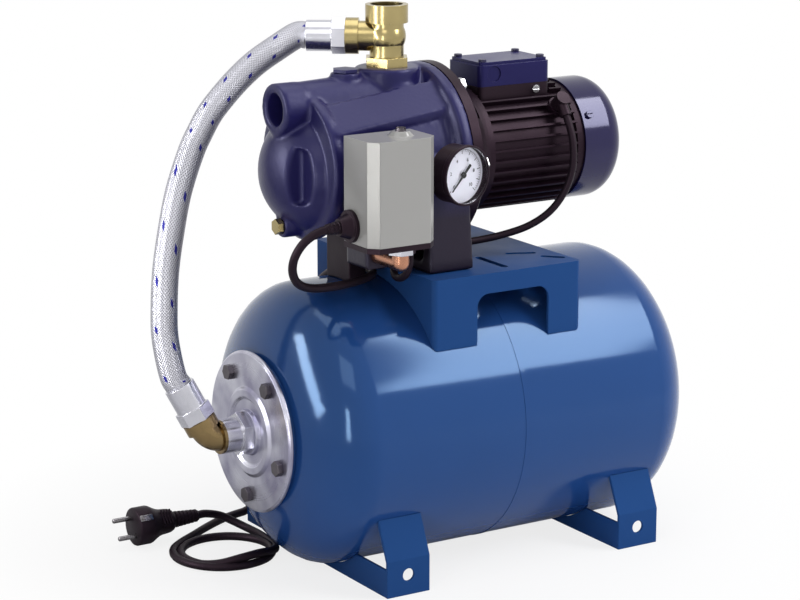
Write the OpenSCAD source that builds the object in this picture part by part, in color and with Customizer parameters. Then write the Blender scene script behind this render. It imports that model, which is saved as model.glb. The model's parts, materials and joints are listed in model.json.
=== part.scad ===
// Booster pump set: a self-priming jet pump on a horizontal pressure tank,
// with pressure switch, gauge, braided hose and mains lead.
// X runs along the tank from its flange to its domed end, -Y is the operating side.

/* [Tank] */
// Outer radius of the tank
tank_r = 135; // [125:1:145]
// Length of the straight part of the tank
tank_len = 314; // [306:1:340]
// Sheet thickness of the tank
tank_wall = 1.6; // [1.2:0.1:2.4]
// Air gap between tank and floor
floor_gap = 2; // [1.5:0.5:5]
// Radius of the opening under the flange
neck_r = 47; // [44:1:49]
// Outer radius of the flange
flange_r = 76.5; // [74:0.5:80]
// Sheet thickness of the flange
flange_t = 3; // [2:0.5:4]
// Radius of the flange bolt circle
flange_bolt_r = 61; // [60:0.5:63]
// Number of flange bolts
flange_bolt_n = 5; // [4:1:6]

/* [Feet] */
// Distance of each foot from the tank's middle
foot_x = 131; // [125:1:133]
// Width of a foot along the tank
foot_w = 46; // [40:1:50]
// How far the foot's end plates stand in from the tank's side
foot_inset = 1; // [0:0.5:4]
// Height of the foot's end plate
foot_fold_h = 35; // [32:1:40]
// Height at which the strap meets the tank
strap_top_h = 76; // [70:1:84]
// Sheet thickness of the feet
foot_sheet = 3; // [2.5:0.5:4]
// Height of the foot's web
foot_web_h = 27; // [20:1:30]
// Radius of the holes in the end plates
foot_hole_r = 6; // [4:0.5:7]
// Height of the holes in the end plates
foot_hole_h = 19.5; // [16:0.5:22]

/* [Platform] */
// Length of the platform along the tank
platform_len = 165; // [160:1:175]
// Half of the platform's width
platform_half = 108; // [105:1:112]
// Height of the platform's top above the tank
platform_rise = 14; // [12:1:20]
// Sheet thickness of the platform
platform_sheet = 3; // [2.5:0.5:4]
// Width of the carrying-handle cut-out
handle_w = 80; // [70:1:90]
// Height of the strip over the cut-out
handle_strip_h = 19; // [15:1:24]

/* [Pump] */
// Height of the pump's axis above the platform
axis_rise = 97; // [95:1:105]
// Height of the suction port above the pump's axis
suction_rise = 55; // [54:0.5:58]
// Inner radius of the one-inch pipe threads
port_r = 15.1; // [14:0.1:16]
// Depth of the suction thread
suction_depth = 22; // [18:1:28]
// Radius of the casing's barrel behind the nose
barrel_r = 69; // [68:0.5:72]
// Radius of the flange between casing and bracket
joint_flange_r = 87; // [85:1:90]
// Number of casing bolts
casing_bolt_n = 6; // [4:1:8]
// Outer radius of the impeller
impeller_r = 50; // [44:1:51]
// Number of impeller blades
blade_n = 6; // [4:1:8]

/* [Motor] */
// Radius over the motor's fins
fin_r = 60; // [58.5:0.5:61]
// Length of the finned housing
housing_len = 115; // [110:1:125]
// Number of cooling fins around the housing
fin_n = 36; // [24:2:44]
// Thickness of a cooling fin
fin_t = 2; // [1.5:0.1:2.5]
// Length of the fan cover
cover_len = 49; // [47:1:60]
// Length of the terminal box
box_len = 80; // [74:1:84]
// Width of the terminal box
box_w = 56; // [54:1:60]

/* [Switch and gauge] */
// Width of the pressure switch
switch_w = 70; // [68:1:76]
// Depth of the pressure switch
switch_d = 49; // [48:1:52]
// Height of the pressure switch cover
switch_h = 96; // [90:1:104]
// Wall of the switch cover
switch_wall = 2.2; // [1.6:0.1:3]
// Radius of the gauge case
gauge_r = 28; // [26:0.5:29]
// Depth of the gauge case
gauge_d = 24; // [20:1:26]

/* [Pipework] */
// Height of the tee's branch above the casing
branch_rise = 28; // [27:0.5:32]
// Height of the tee
tee_h = 58; // [56:0.5:66]
// Turn of the tee's branch towards the far side
branch_yaw = 35; // [25:1:40]
// Outer radius of the braided hose
hose_r = 12.5; // [11:0.5:13]
// Radius of the mains lead
lead_r = 4; // [3:0.5:4]
// Radius of the motor lead
motor_lead_r = 3.5; // [3:0.25:4]

/* [Hidden] */
$fn = 64;
// Fits
weld_gap = 0.2;
seam_h = 0.4;
seam_w = 5;
slip = 0.05;
clear = 0.3;
m8_r = 4;
m8_hole_r = 4.4;
m8_af = 13;
m8_head_h = 5.3;
m6_r = 3;
m4_r = 2;
m4_head_r = 3.8;
m4_head_h = 2.6;

// Tank levels and ends
tank_z = tank_r + floor_gap;
tank_top = tank_z + tank_r;
tank_half = tank_len / 2;
foot_reach = tank_r - foot_inset;
dome_h = tank_r / 2;
dome_steps = 14;
neck_x = -(tank_half + 0.89 * dome_h);
neck_ring_r = flange_bolt_r + 11;
neck_ring_t = 12;
lip_t = 3;
lip_r = flange_bolt_r - 6;
bag_wall = 2;
flange_x = neck_x - lip_t;
flange_face = flange_x - flange_t;
flange_boss_h = 4;
flange_bolt_turn = 145.5;
flange_boss_r = 21;
valve_x = tank_half + dome_h;
valve_r = 4;
valve_len = 14;
valve_cap_r = 5.5;
valve_pin_r = 1.2;
valve_travel = 1.5;

// Pipe from flange to hose
nipple_r = 15;
nipple_hex = 36;
nipple_hex_t = 10;
nipple_len = 26;
nipple_x = flange_face - flange_boss_h;
elbow_x = nipple_x - nipple_len;
elbow_r = 13;
elbow_wall = 4;
elbow_bend_r = 18;
elbow_turn = 66;
elbow_roll = 15;
elbow_collar_r = 16;
elbow_collar_h = 9;
ferrule_r = 14.5;
ferrule_len = 37;
hose_nut_af = 30;
hose_nut_len = 13;

// The origin lies under the middle of the set
reach_left = elbow_x - elbow_bend_r - elbow_collar_r;
reach_right = valve_x + valve_len + 2;
middle_x = (reach_left + reach_right) / 2;

// Platform
platform_mid = -5.5;
platform_x0 = platform_mid - platform_len / 2;
platform_z = tank_top + platform_rise;
handle_corner = 12;
slot_w = 7;
// Fixing slots in the platform: place along X and Y, length and turn
slots = [[1, 69, 50, 90], [46, 52, 30, 24], [63, 81, 24, 47]];

// Pump casing
axis_z = platform_z + axis_rise;
nose_x = -191;
nose_t = 19;
nose_boss_h = 2;
dome_nose_r = 62;
dome_nose_x = -140;
dome_nose_drop = 5;
dome_nose_cut = 27;
pocket_y = 27;
pocket_x0 = -200;
pocket_x1 = -179;
pocket_h = 52;
pocket_drop = 3;
barrel_x = nose_x + nose_t;
casing_end = -30;
joint_flange_t = 12;
barrel_rear_r = barrel_r + 4;
barrel_neck = 24;
cavity_r = 60;
cavity_x = -104;
throat_r = 26;
throat_x = -166;
drop_x = -158;
suction_z = axis_z + suction_rise;
suction_boss_r = 24;
duct_r = 22.5;
duct_rear_r = 29;
water_r = 13;
shoulder_x = -164;
shoulder_tilt = 7;
shoulder_len = 127;
// Half section of the casing's shoulder: distance from the middle plane and height over the suction port
shoulder = [[21, -8], [32, 5], [60, -17], [60, -24], [46, -55]];
tee_x = -72;
tee_z = axis_z + suction_rise + 31;
discharge_boss_r = 30;
pedestal_x0 = -77;
pedestal_x1 = casing_end;
pedestal_half = 85;
pedestal_wall = 14;
pedestal_base_t = 11;
pedestal_bolt_y = 57;
pedestal_window_h = 35;
pedestal_window_w = 45;
drain_x = -187;
drain_z = axis_z - 54;
drain_boss_r = 11;
drain_r = 6;
prime_x = -117;
prime_r = 9;
prime_top = axis_z + suction_rise + duct_rear_r;
rest_x = -117;
rest_t = 18;
rest_half = 21;
joint_bolt_r = joint_flange_r - 8;

// Motor bracket and motor
bracket_x = casing_end;
bracket_flange_t = 12;
spot_face = 0.3;
housing_x = 5;
hub_r = 27;
spigot_t = 12;
stator_r = 46.5;
housing_base_r = 54.5;
housing_end = housing_x + housing_len;
shield_t = 8;
shield_r = 57;
cover_wall = 1.8;
cover_x = housing_end - 4;
cover_r = shield_r + clear + cover_wall;
cover_edge_r = 20;
tie_rod_r = 2;
tie_rod_at = 50.5;

// Shaft line
impeller_x0 = -68;
impeller_x1 = -50;
shaft_tip = -78;
impeller_bore_r = 6;
journal_r = 8.5;
core_bore_r = 11;
rear_journal_r = 7.5;
fan_bore_r = 6;
front_bearing_x = 13;
front_bearing_w = 12;
front_bearing_r = 20;
rear_bearing_w = 11;
rear_bearing_r = 17.5;
core_x0 = 34;
core_x1 = housing_end - 20;
core_r = 30;
rear_bearing_x = housing_end - 9;
fan_x = housing_end + 14;
fan_r = 50;
fan_w = 16;
shaft_end = fan_x + fan_w + 4;
eye_r = 21;
diffuser_x0 = -92;
diffuser_r = 58.5;
ejector_x = -160;
seat_r = 16;
seat_w = 7;

// Terminal box
box_x = 54;
box_z0 = axis_z + 50;
box_split = axis_z + 62;
box_top = axis_z + 85;
box_wall = 2.5;
box_corner = 5;
lid_post_r = 4;
capacitor_r = 13;
earth_x = 23;
earth_z = box_z0 + 6;
gland_x = 91;
gland_turn = 42;
gland_reach = 69;
gland_len = 16;
gland_r = 7;

// Pressure switch
switch_x = -132;
stem_x = -122;
switch_y0 = -130;
switch_y = switch_y0 + switch_d / 2;
switch_z0 = axis_z - 55;
switch_chamfer = 8.6;
switch_base_t = 5;
switch_nut_af = 22;
switch_nut_h = 8;
switch_stem_r = 6;
switch_pipe_r = 8;
switch_thread_r = 6;
switch_pipe_z = switch_z0 - switch_base_t - switch_nut_h - switch_pipe_r;
lug_w = 26;
lug_y = -68;
lug_d = 38;
lever_z = switch_z0 + 40;
plunger_r = 5;
plunger_tip_r = 1.5;
tip_gap = 0.5;
lever_t = 3;
lever_pin_r = 2;
lever_pin_y = switch_y - 16;
gantry_z = lever_z + 28;
gantry_t = 5;
side_gland_z = switch_z0 + 16;
side_gland_y = switch_y + 11;
side_gland_r = 15;
side_gland_len = 14;
base_gland_x = -104;
base_gland_y = -92;
base_gland_r = 7;
base_gland_len = 12;

// Gauge
gauge_x = -65;
gauge_turn = 11;
gauge_pivot = -75;
gauge_z = axis_z - 1;
gauge_back = -93;
gauge_face = gauge_back - gauge_d;
gauge_boss_r = 11;
gauge_stem_r = 5;
gauge_rim = 2;
dial_t = 1;
dial_y = gauge_face + 8;
needle_y = dial_y - 3;
needle_pin_r = 1.5;
lens_t = 1.6;

// Tee branch in plan
branch_dir = [-cos(branch_yaw), sin(branch_yaw), 0];
tee_r = 20;
branch_r = 17;
branch_len = 38;
branch_z = tee_z + branch_rise;
hose_top = [tee_x, 0, branch_z] + branch_dir * (branch_len + ferrule_len);

// Elbow outlet
outlet_dir = [-cos(elbow_turn), sin(elbow_turn) * sin(elbow_roll), sin(elbow_turn) * cos(elbow_roll)];
bend_rise = elbow_bend_r * (1 - cos(elbow_turn));
outlet = [elbow_x - elbow_bend_r * sin(elbow_turn), bend_rise * sin(elbow_roll),
    tank_z + bend_rise * cos(elbow_roll)] + outlet_dir * elbow_collar_h;
hose_low = outlet + outlet_dir * ferrule_len;

// Routes of the hose and the leads
hose_route = concat([hose_top, hose_top + 9 * branch_dir],
    [[-158, 57, 485], [-176, 62, 473], [-193, 65, 459], [-210, 66, 443], [-224, 66, 428],
    [-235, 65, 412], [-246, 63, 394], [-262, 58, 360], [-274, 51, 326], [-285, 42, 291],
    [-292, 33, 257], [-295, 26, 230]],
    [hose_low + 12 * outlet_dir, hose_low]);
gland_dir = [0, -cos(gland_turn + 15), -sin(gland_turn + 15)];
gland_top = [gland_x, -gland_reach * cos(gland_turn), axis_z + gland_reach * sin(gland_turn)];
gland_out = gland_top + gland_dir * gland_len;
base_gland_z = switch_z0 - switch_base_t - base_gland_len;
motor_route = concat([gland_out, gland_out + 13 * gland_dir],
    [[90.5, -73, 390], [88, -76, 368], [81, -73.5, 346], [69, -67, 327], [51, -58, 313.5], [27, -50, 306],
    [0, -45, 302.5], [-35, -43, 302], [-71, -43, 302], [-86, -45, 297], [-96, -52, 289.5],
    [-102, -63, 284.5], [-104, -75, 284.5], [-104.5, -86, 290], [-104, -91.5, 300]],
    [[base_gland_x, base_gland_y, base_gland_z]]);
mains_out = [switch_x - switch_w / 2 - side_gland_len, side_gland_y, side_gland_z];
mains_route = concat([mains_out, mains_out - [12, 0, 0.5]],
    [[-205, -92.5, 339.5], [-214.5, -88.5, 331], [-220, -83.5, 318], [-219, -78.5, 304.5],
    [-211, -73.5, 292.5], [-195, -68.5, 285], [-168, -63, 282], [-139, -54.5, 281.5],
    [-113, -39, 281], [-99, -15, 280], [-97, 12, 278.5], [-97, 46, 271],
    [-97, 80, 253], [-98, 108, 228], [-100, 129, 194], [-103, 140, 156], [-108, 145, 110],
    [-115, 148, 65], [-123, 151, 30], [-133, 152, 11], [-150, 150, 4.2], [-176, 142, 4.2],
    [-203, 127, 4.2], [-227, 111, 4.2], [-247, 98, 4.2]]);
coil_at = [-222, 54];
coil_in = 38;
coil_out = 54.5;
plug_y = 122;
plug_z = 20;
plug_face = -286;
plug_r = 19;
boot_end = plug_face + 70;
tail_route = [[boot_end, plug_y, plug_z], [boot_end + 9, plug_y, plug_z], [-192, 121, 16], [-181, 115, 10],
    [-173, 104, 5.5], [-170, 88, 4.2], [-170, 72, 4.2], [-171.5, 56, 4.2]];

// Colours of the finishes
blue_paint = [0.20, 0.36, 0.58];
navy_paint = [0.16, 0.15, 0.36];
black_paint = [0.09, 0.08, 0.10];
zinc = [0.74, 0.75, 0.77];
steel = [0.62, 0.63, 0.65];
brass = [0.72, 0.62, 0.32];
grey_shell = [0.70, 0.69, 0.66];
rubber = [0.07, 0.07, 0.08];
copper = [0.66, 0.40, 0.27];

// Placing helpers
module centred() translate([-middle_x, 0, 0]) children();
module on_axis(x) translate([x, 0, axis_z]) rotate([0, 90, 0]) children();
module on_tank(x) translate([x, 0, tank_z]) rotate([0, 90, 0]) children();
module along_y(at) translate(at) rotate([-90, 0, 0]) children();
module pointing(at, dir) {
    turn = atan2(dir[1], dir[0]);
    tilt = acos(dir[2] / norm(dir));
    translate(at) rotate([0, tilt, turn]) children();
}
module ring(outer, inner, h) difference() {
    cylinder(r = outer, h = h);
    translate([0, 0, -1]) cylinder(r = inner, h = h + 2);
}
module hex(af, h) cylinder(d = af / cos(30), h = h, $fn = 6);
module round_rect(w, d, r) {
    square([w - 2 * r, d], center = true);
    square([w, d - 2 * r], center = true);
    for (sx = [-1, 1], sy = [-1, 1]) translate([sx * (w / 2 - r), sy * (d / 2 - r)]) circle(r = r);
}
module round_bar(w, d, r, h) linear_extrude(h) round_rect(w, d, r);
// Screw with its head above z = 0
module hex_screw(af, head_h, r, len) {
    hex(af, head_h);
    translate([0, 0, -len]) cylinder(r = r, h = len);
}
module pan_screw(len) {
    difference() {
        cylinder(r = m4_head_r, h = m4_head_h);
        translate([-m4_head_r, -0.5, m4_head_h - 1.2]) cube([2 * m4_head_r, 1, 2]);
    }
    translate([0, 0, -len]) cylinder(r = m4_r, h = len);
}

// Swept tube along a route
function unit(v) = v / norm(v);
function heading(p, i) = unit(p[min(i + 1, len(p) - 1)] - p[max(i - 1, 0)]);
function across(t) = unit(cross(t, abs(t[2]) < 0.8 ? [0, 0, 1] : [0, 1, 0]));
function sides(p, i, s) = i == len(p) ? [] :
    let (t = heading(p, i), u = unit(s - (s * t) * t)) concat([u], sides(p, i + 1, u));
module tube(p, r, count) {
    s = sides(p, 0, across(heading(p, 0)));
    n = len(p);
    points = [for (i = [0:n - 1], k = [0:count - 1])
        let (t = heading(p, i), a = 360 * k / count)
        p[i] + r * (cos(a) * s[i] + sin(a) * cross(t, s[i]))];
    walls = [for (i = [0:n - 2], k = [0:count - 1])
        let (m = (k + 1) % count)
        [i * count + k, (i + 1) * count + k, (i + 1) * count + m, i * count + m]];
    ends = [[for (k = [0:count - 1]) k], [for (k = [count - 1:-1:0]) (n - 1) * count + k]];
    polyhedron(points, concat(walls, ends), convexity = 6);
}

// Closed tank form: a tube with an elliptical dome at each end
module tank_form(r, half, dome) {
    low = [for (i = [0:dome_steps]) let (a = 90 - 90 * i / dome_steps) [r * cos(a), -half - dome * sin(a)]];
    high = [for (i = [0:dome_steps]) let (a = 90 * i / dome_steps) [r * cos(a), half + dome * sin(a)]];
    rotate_extrude() polygon(concat(low, high));
}
module flange_bolt_ring() for (i = [0:flange_bolt_n - 1])
    rotate([0, 0, flange_bolt_turn + 360 * i / flange_bolt_n]) translate([flange_bolt_r, 0, 0]) children();

module tank_shell() color(blue_paint) centred() on_tank(0) difference() {
    union() {
        difference() {
            tank_form(tank_r, tank_half, dome_h);
            tank_form(tank_r - tank_wall, tank_half, dome_h - tank_wall);
        }
        translate([0, 0, neck_x]) cylinder(r = neck_ring_r, h = neck_ring_t);
        translate([0, 0, -seam_w / 2]) ring(tank_r + seam_h, tank_r - tank_wall / 2, seam_w);
    }
    translate([0, 0, -valve_x - 1]) cylinder(r = neck_r, h = valve_x + neck_x + neck_ring_t + 2);
    translate([0, 0, -valve_x - 1]) cylinder(r = neck_ring_r + 1, h = valve_x + neck_x + 1);
    translate([0, 0, neck_x - 1]) flange_bolt_ring() cylinder(r = m8_r + slip, h = neck_ring_t + 3);
    translate([0, 0, tank_half]) cylinder(r = valve_r + slip, h = dome_h + 1);
}

// Rubber bag that parts water from air, clamped by its lip under the flange
module tank_membrane() color(rubber) centred() on_tank(0) {
    bag_r = tank_r * 0.72;
    bag_mid = tank_half * 0.1;
    bag_half = tank_half * 0.72;
    tube_r = neck_r - 1;
    steps = 10;
    outer = concat([[tube_r, flange_x], [tube_r, neck_x + neck_ring_t + 8]],
        [for (i = [0:steps]) let (a = -55 + 145 * i / steps) [bag_r * cos(a), bag_mid + bag_half * sin(a)]]);
    inner = [for (i = [steps:-1:0]) let (a = -55 + 145 * i / steps)
        [(bag_r - bag_wall) * cos(a), bag_mid + (bag_half - bag_wall) * sin(a)]];
    rotate_extrude() polygon(concat(outer, inner,
        [[tube_r - bag_wall, neck_x + neck_ring_t + 8], [tube_r - bag_wall, flange_x]]));
    translate([0, 0, flange_x]) ring(lip_r, tube_r - bag_wall, lip_t);
}

// Pressed flange with concentric rings and a central thread boss
module tank_flange() color(zinc) centred() on_tank(flange_face) difference() {
    rotate_extrude() polygon([[0, -flange_boss_h], [flange_boss_r, -flange_boss_h], [flange_boss_r + 1, 0],
        [flange_boss_r + 10, 0], [flange_boss_r + 13, -2.5], [flange_boss_r + 19, -2.5],
        [flange_boss_r + 22, 0], [flange_r - 2, 0], [flange_r, 2], [flange_r, flange_t + 1.5],
        [flange_r - 2, flange_t + 1.5], [flange_r - 3, flange_t], [0, flange_t]]);
    translate([0, 0, -flange_boss_h - 1]) cylinder(r = nipple_r + slip, h = flange_t + flange_boss_h + 2);
    translate([0, 0, -1]) flange_bolt_ring() cylinder(r = m8_hole_r, h = flange_t + 2);
}
module flange_bolts() color(steel) centred() on_tank(flange_face) flange_bolt_ring()
    rotate([180, 0, 0]) hex_screw(m8_af, m8_head_h, m8_r, flange_t + lip_t + neck_ring_t - 1);

module air_valve() color(brass) centred() on_tank(valve_x) difference() {
    union() {
        translate([0, 0, -tank_wall]) cylinder(r = valve_r, h = valve_len + tank_wall);
        ring(valve_r + 2.5, valve_r - 1, 2);
    }
    translate([0, 0, -tank_wall - 1]) cylinder(r = valve_pin_r + slip, h = valve_len + tank_wall + 2);
    translate([0, 0, valve_len - 4]) cylinder(r = valve_r - 1.5, h = 5);
}
module air_valve_pin() color(steel) centred() on_tank(valve_x) {
    translate([0, 0, 1]) cylinder(r = valve_pin_r, h = valve_len - 2);
    translate([0, 0, valve_len - 4 + valve_travel + clear]) cylinder(r = valve_r - 2, h = 1);
}
module air_valve_cap() color(rubber) centred() on_tank(valve_x + 2) difference() {
    union() {
        cylinder(r = valve_cap_r, h = valve_len);
        for (i = [0:11]) rotate([0, 0, 30 * i]) translate([valve_cap_r, 0, 1])
            cylinder(r = 0.6, h = valve_len - 3);
    }
    translate([0, 0, -1]) cylinder(r = valve_r + slip, h = valve_len - 0.8);
}

// Folded foot: two end plates with straps up to the tank, joined by one web
module foot() difference() {
    union() {
        for (side = [-1, 1]) rotate([90, 0, 90]) translate([0, 0, -foot_w / 2]) linear_extrude(foot_w)
            polygon([[side * foot_reach, 0], [side * foot_reach, foot_fold_h],
                [side * (tank_r * 0.86), strap_top_h], [side * (tank_r * 0.86 - 4), strap_top_h],
                [side * (foot_reach - foot_sheet), foot_fold_h - 1], [side * (foot_reach - foot_sheet), 0]]);
        translate([-foot_w / 2, -foot_reach, 0]) cube([foot_sheet, 2 * foot_reach, foot_web_h]);
    }
    on_tank(-foot_w) cylinder(r = tank_r + weld_gap, h = 2 * foot_w);
    along_y([0, -foot_reach - 1, foot_hole_h]) cylinder(r = foot_hole_r, h = 2 * foot_reach + 2);
}
module foot_front() color(blue_paint) centred() translate([-foot_x, 0, 0]) foot();
module foot_rear() color(blue_paint) centred() translate([foot_x, 0, 0]) foot();

// Saddle that carries the pump, with a carrying handle cut in each skirt
module pump_platform() color(blue_paint) centred() difference() {
    translate([platform_mid, 0, tank_z]) linear_extrude(platform_z - tank_z)
        round_rect(platform_len, 2 * platform_half, 5);
    translate([platform_mid, 0, tank_z - 1]) linear_extrude(platform_z - tank_z + 1 - platform_sheet)
        round_rect(platform_len - 2 * platform_sheet, 2 * (platform_half - platform_sheet), 3);
    on_tank(platform_x0 - 1) cylinder(r = tank_r + seam_h + weld_gap, h = platform_len + 2);
    translate([0, -platform_half - 1, 0]) rotate([90, 0, 0]) mirror([0, 0, 1])
        linear_extrude(2 * platform_half + 2) handle_outline();
    for (s = [-1, 1]) platform_slots(s);
    pedestal_holes();
}
module handle_outline() {
    high = platform_z - handle_strip_h;
    translate([0, (tank_z + high) / 2]) round_rect(handle_w, high - tank_z, handle_corner);
}
module platform_slots(side) for (slot = slots)
    translate([slot[0], side * slot[1], platform_z - platform_sheet - 1]) rotate([0, 0, side * slot[3]])
        round_bar(slot[2], slot_w, slot_w / 2 - 0.1, platform_sheet + 2);
module pedestal_places() for (sy = [-1, 1])
    translate([(pedestal_x0 + pedestal_x1) / 2, sy * pedestal_bolt_y, 0]) children();
module pedestal_holes() translate([0, 0, platform_z - platform_sheet - 1]) pedestal_places()
    cylinder(r = m8_hole_r, h = platform_sheet + 2);
module platform_bolts() color(steel) centred() pedestal_places() {
    translate([0, 0, platform_z + pedestal_base_t]) hex_screw(m8_af, m8_head_h, m8_r,
        pedestal_base_t + platform_sheet + 8);
    translate([0, 0, platform_z - platform_sheet - 6.5]) difference() {
        hex(m8_af, 6.5);
        translate([0, 0, -1]) cylinder(r = m8_r + slip, h = 9);
    }
}

// Cast casing: domed nose with suction port, barrel, shoulders beside the suction duct, flange and pedestal
module casing_outer() {
    on_axis(dome_nose_x) translate([dome_nose_drop, 0, 0]) rotate_extrude() intersection() {
        circle(r = dome_nose_r);
        translate([0, -dome_nose_r]) square([dome_nose_r, dome_nose_r - dome_nose_cut]);
    }
    on_axis(barrel_x) rotate_extrude() polygon([[0, 0], [45, 0], [47, 3], [barrel_r - 2, 4],
        [barrel_r, 6], [barrel_r, 14], [barrel_r - 4, 18], [barrel_r - 4, barrel_neck],
        [barrel_rear_r, casing_end - barrel_x - joint_flange_t - 5],
        [joint_flange_r - 3, casing_end - barrel_x - joint_flange_t],
        [joint_flange_r, casing_end - barrel_x - joint_flange_t + 2], [joint_flange_r, casing_end - barrel_x],
        [0, casing_end - barrel_x]]);
    duct_at(nose_x - nose_boss_h) cylinder(r = suction_boss_r, h = nose_t + 6);
    duct_at(nose_x + 1) cylinder(r1 = duct_r, r2 = duct_rear_r, h = casing_end - nose_x - 4);
    duct_at(drain_x, drain_z) cylinder(r = drain_boss_r, h = barrel_x - drain_x + 8);
    translate([shoulder_x, 0, suction_z]) rotate([0, -shoulder_tilt, 0]) rotate([90, 0, 90])
        linear_extrude(shoulder_len) polygon(concat(shoulder,
            [for (i = [len(shoulder) - 1:-1:0]) [-shoulder[i][0], shoulder[i][1]]]));
    translate([tee_x, 0, suction_z]) cylinder(r = discharge_boss_r, h = tee_z - suction_z);
    translate([prime_x, 0, suction_z]) cylinder(r = prime_r + 5, h = prime_top - suction_z);
    gauge_turned() along_y([gauge_x, gauge_back + 4, gauge_z]) cylinder(r = gauge_boss_r, h = 30);
    tapping_lug();
    pedestal();
}
module duct_at(x, z = suction_z) translate([x, 0, z]) rotate([0, 90, 0]) children();
// Recess in each side of the nose
module nose_pockets() for (s = [-1, 1])
    translate([(pocket_x0 + pocket_x1) / 2, s * (pocket_y + dome_nose_r / 2), axis_z - pocket_drop])
        rotate([90, 0, 0]) linear_extrude(dome_nose_r, center = true)
            round_rect(pocket_x1 - pocket_x0, pocket_h, 5);
// Pad on the lower near side that the switch's pipe screws into
module tapping_lug() translate([stem_x - lug_w / 2, 0, 0]) rotate([90, 0, 90]) linear_extrude(lug_w)
    polygon([[lug_y, switch_pipe_z - lug_w / 2], [lug_y + lug_d, switch_pipe_z - lug_w / 2],
        [lug_y + lug_d, axis_z - barrel_r + 20], [lug_y + 14, axis_z - barrel_r + 32],
        [lug_y, switch_pipe_z + lug_w / 2]]);
module pedestal() difference() {
    translate([pedestal_x0, 0, platform_z]) rotate([90, 0, 90]) linear_extrude(pedestal_x1 - pedestal_x0)
        polygon([[-pedestal_half, 0], [pedestal_half, 0], [pedestal_half, pedestal_base_t],
            [joint_flange_r - 9, axis_rise - 20], [-joint_flange_r + 9, axis_rise - 20],
            [-pedestal_half, pedestal_base_t]]);
    for (s = [-1, 1]) translate([pedestal_x0 - 1, s * (pedestal_half - pedestal_wall - pedestal_window_w / 2),
        platform_z + pedestal_base_t + pedestal_window_h / 2]) rotate([90, 0, 90])
            linear_extrude(pedestal_x1 - pedestal_x0 + 2) round_rect(pedestal_window_w, pedestal_window_h, 6);
}
module pump_casing() color(navy_paint) centred() difference() {
    casing_outer();
    on_axis(cavity_x) cylinder(r = cavity_r, h = casing_end - cavity_x + 1);
    on_axis(throat_x) cylinder(r = throat_r, h = cavity_x - throat_x + 1);
    nose_pockets();
    duct_at(nose_x - nose_boss_h - 1) cylinder(r = port_r, h = suction_depth + 1);
    duct_at(nose_x) cylinder(r = water_r, h = drop_x - nose_x);
    translate([drop_x, 0, axis_z]) cylinder(r = water_r, h = suction_rise);
    translate([tee_x, 0, axis_z]) cylinder(r = port_r + slip, h = tee_z - axis_z + 1);
    translate([prime_x, 0, suction_z - 4]) cylinder(r = prime_r + slip, h = 50);
    translate([prime_x, 0, axis_z]) cylinder(r = prime_r - 2, h = suction_rise);
    duct_at(drain_x - 1, drain_z) cylinder(r = drain_r + slip, h = 12);
    gauge_turned() along_y([gauge_x, gauge_back - 1, gauge_z]) cylinder(r = gauge_stem_r + slip, h = 40);
    along_y([stem_x, lug_y - 1, switch_pipe_z]) cylinder(r = switch_thread_r + slip, h = lug_d - 8);
    on_axis(casing_end - joint_flange_t + 1) joint_bolt_places()
        cylinder(r = m8_r + slip, h = joint_flange_t);
    translate([0, 0, platform_z - 1]) pedestal_places() cylinder(r = m8_hole_r, h = pedestal_base_t + 2);
}
module joint_bolt_places() for (i = [0:casing_bolt_n - 1])
    rotate([0, 0, 30 + 360 * i / casing_bolt_n]) translate([joint_bolt_r, 0, 0]) children();
module casing_bolts() color(steel) centred() on_axis(casing_end + bracket_flange_t - spot_face)
    joint_bolt_places() hex_screw(m8_af, m8_head_h, m8_r, bracket_flange_t + joint_flange_t - 2);

// Rubber rest between barrel and tank
module casing_rest() color(rubber) centred() difference() {
    translate([rest_x - rest_t / 2, -rest_half, tank_z]) cube([rest_t, 2 * rest_half, axis_z - tank_z]);
    on_tank(rest_x - rest_t) cylinder(r = tank_r + weld_gap, h = 2 * rest_t);
    on_axis(barrel_x + barrel_neck) cylinder(r1 = barrel_r - 4 + weld_gap, r2 = barrel_rear_r + weld_gap,
        h = casing_end - barrel_x - joint_flange_t - 5 - barrel_neck);
}
module drain_plug() color(brass) centred() translate([drain_x, 0, drain_z]) rotate([0, -90, 0])
    hex_screw(m8_af, 6, drain_r, 10);
module priming_plug() color(navy_paint) centred() translate([prime_x, 0, prime_top])
    hex_screw(2 * prime_r + 4, 3, prime_r, 12);

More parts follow.
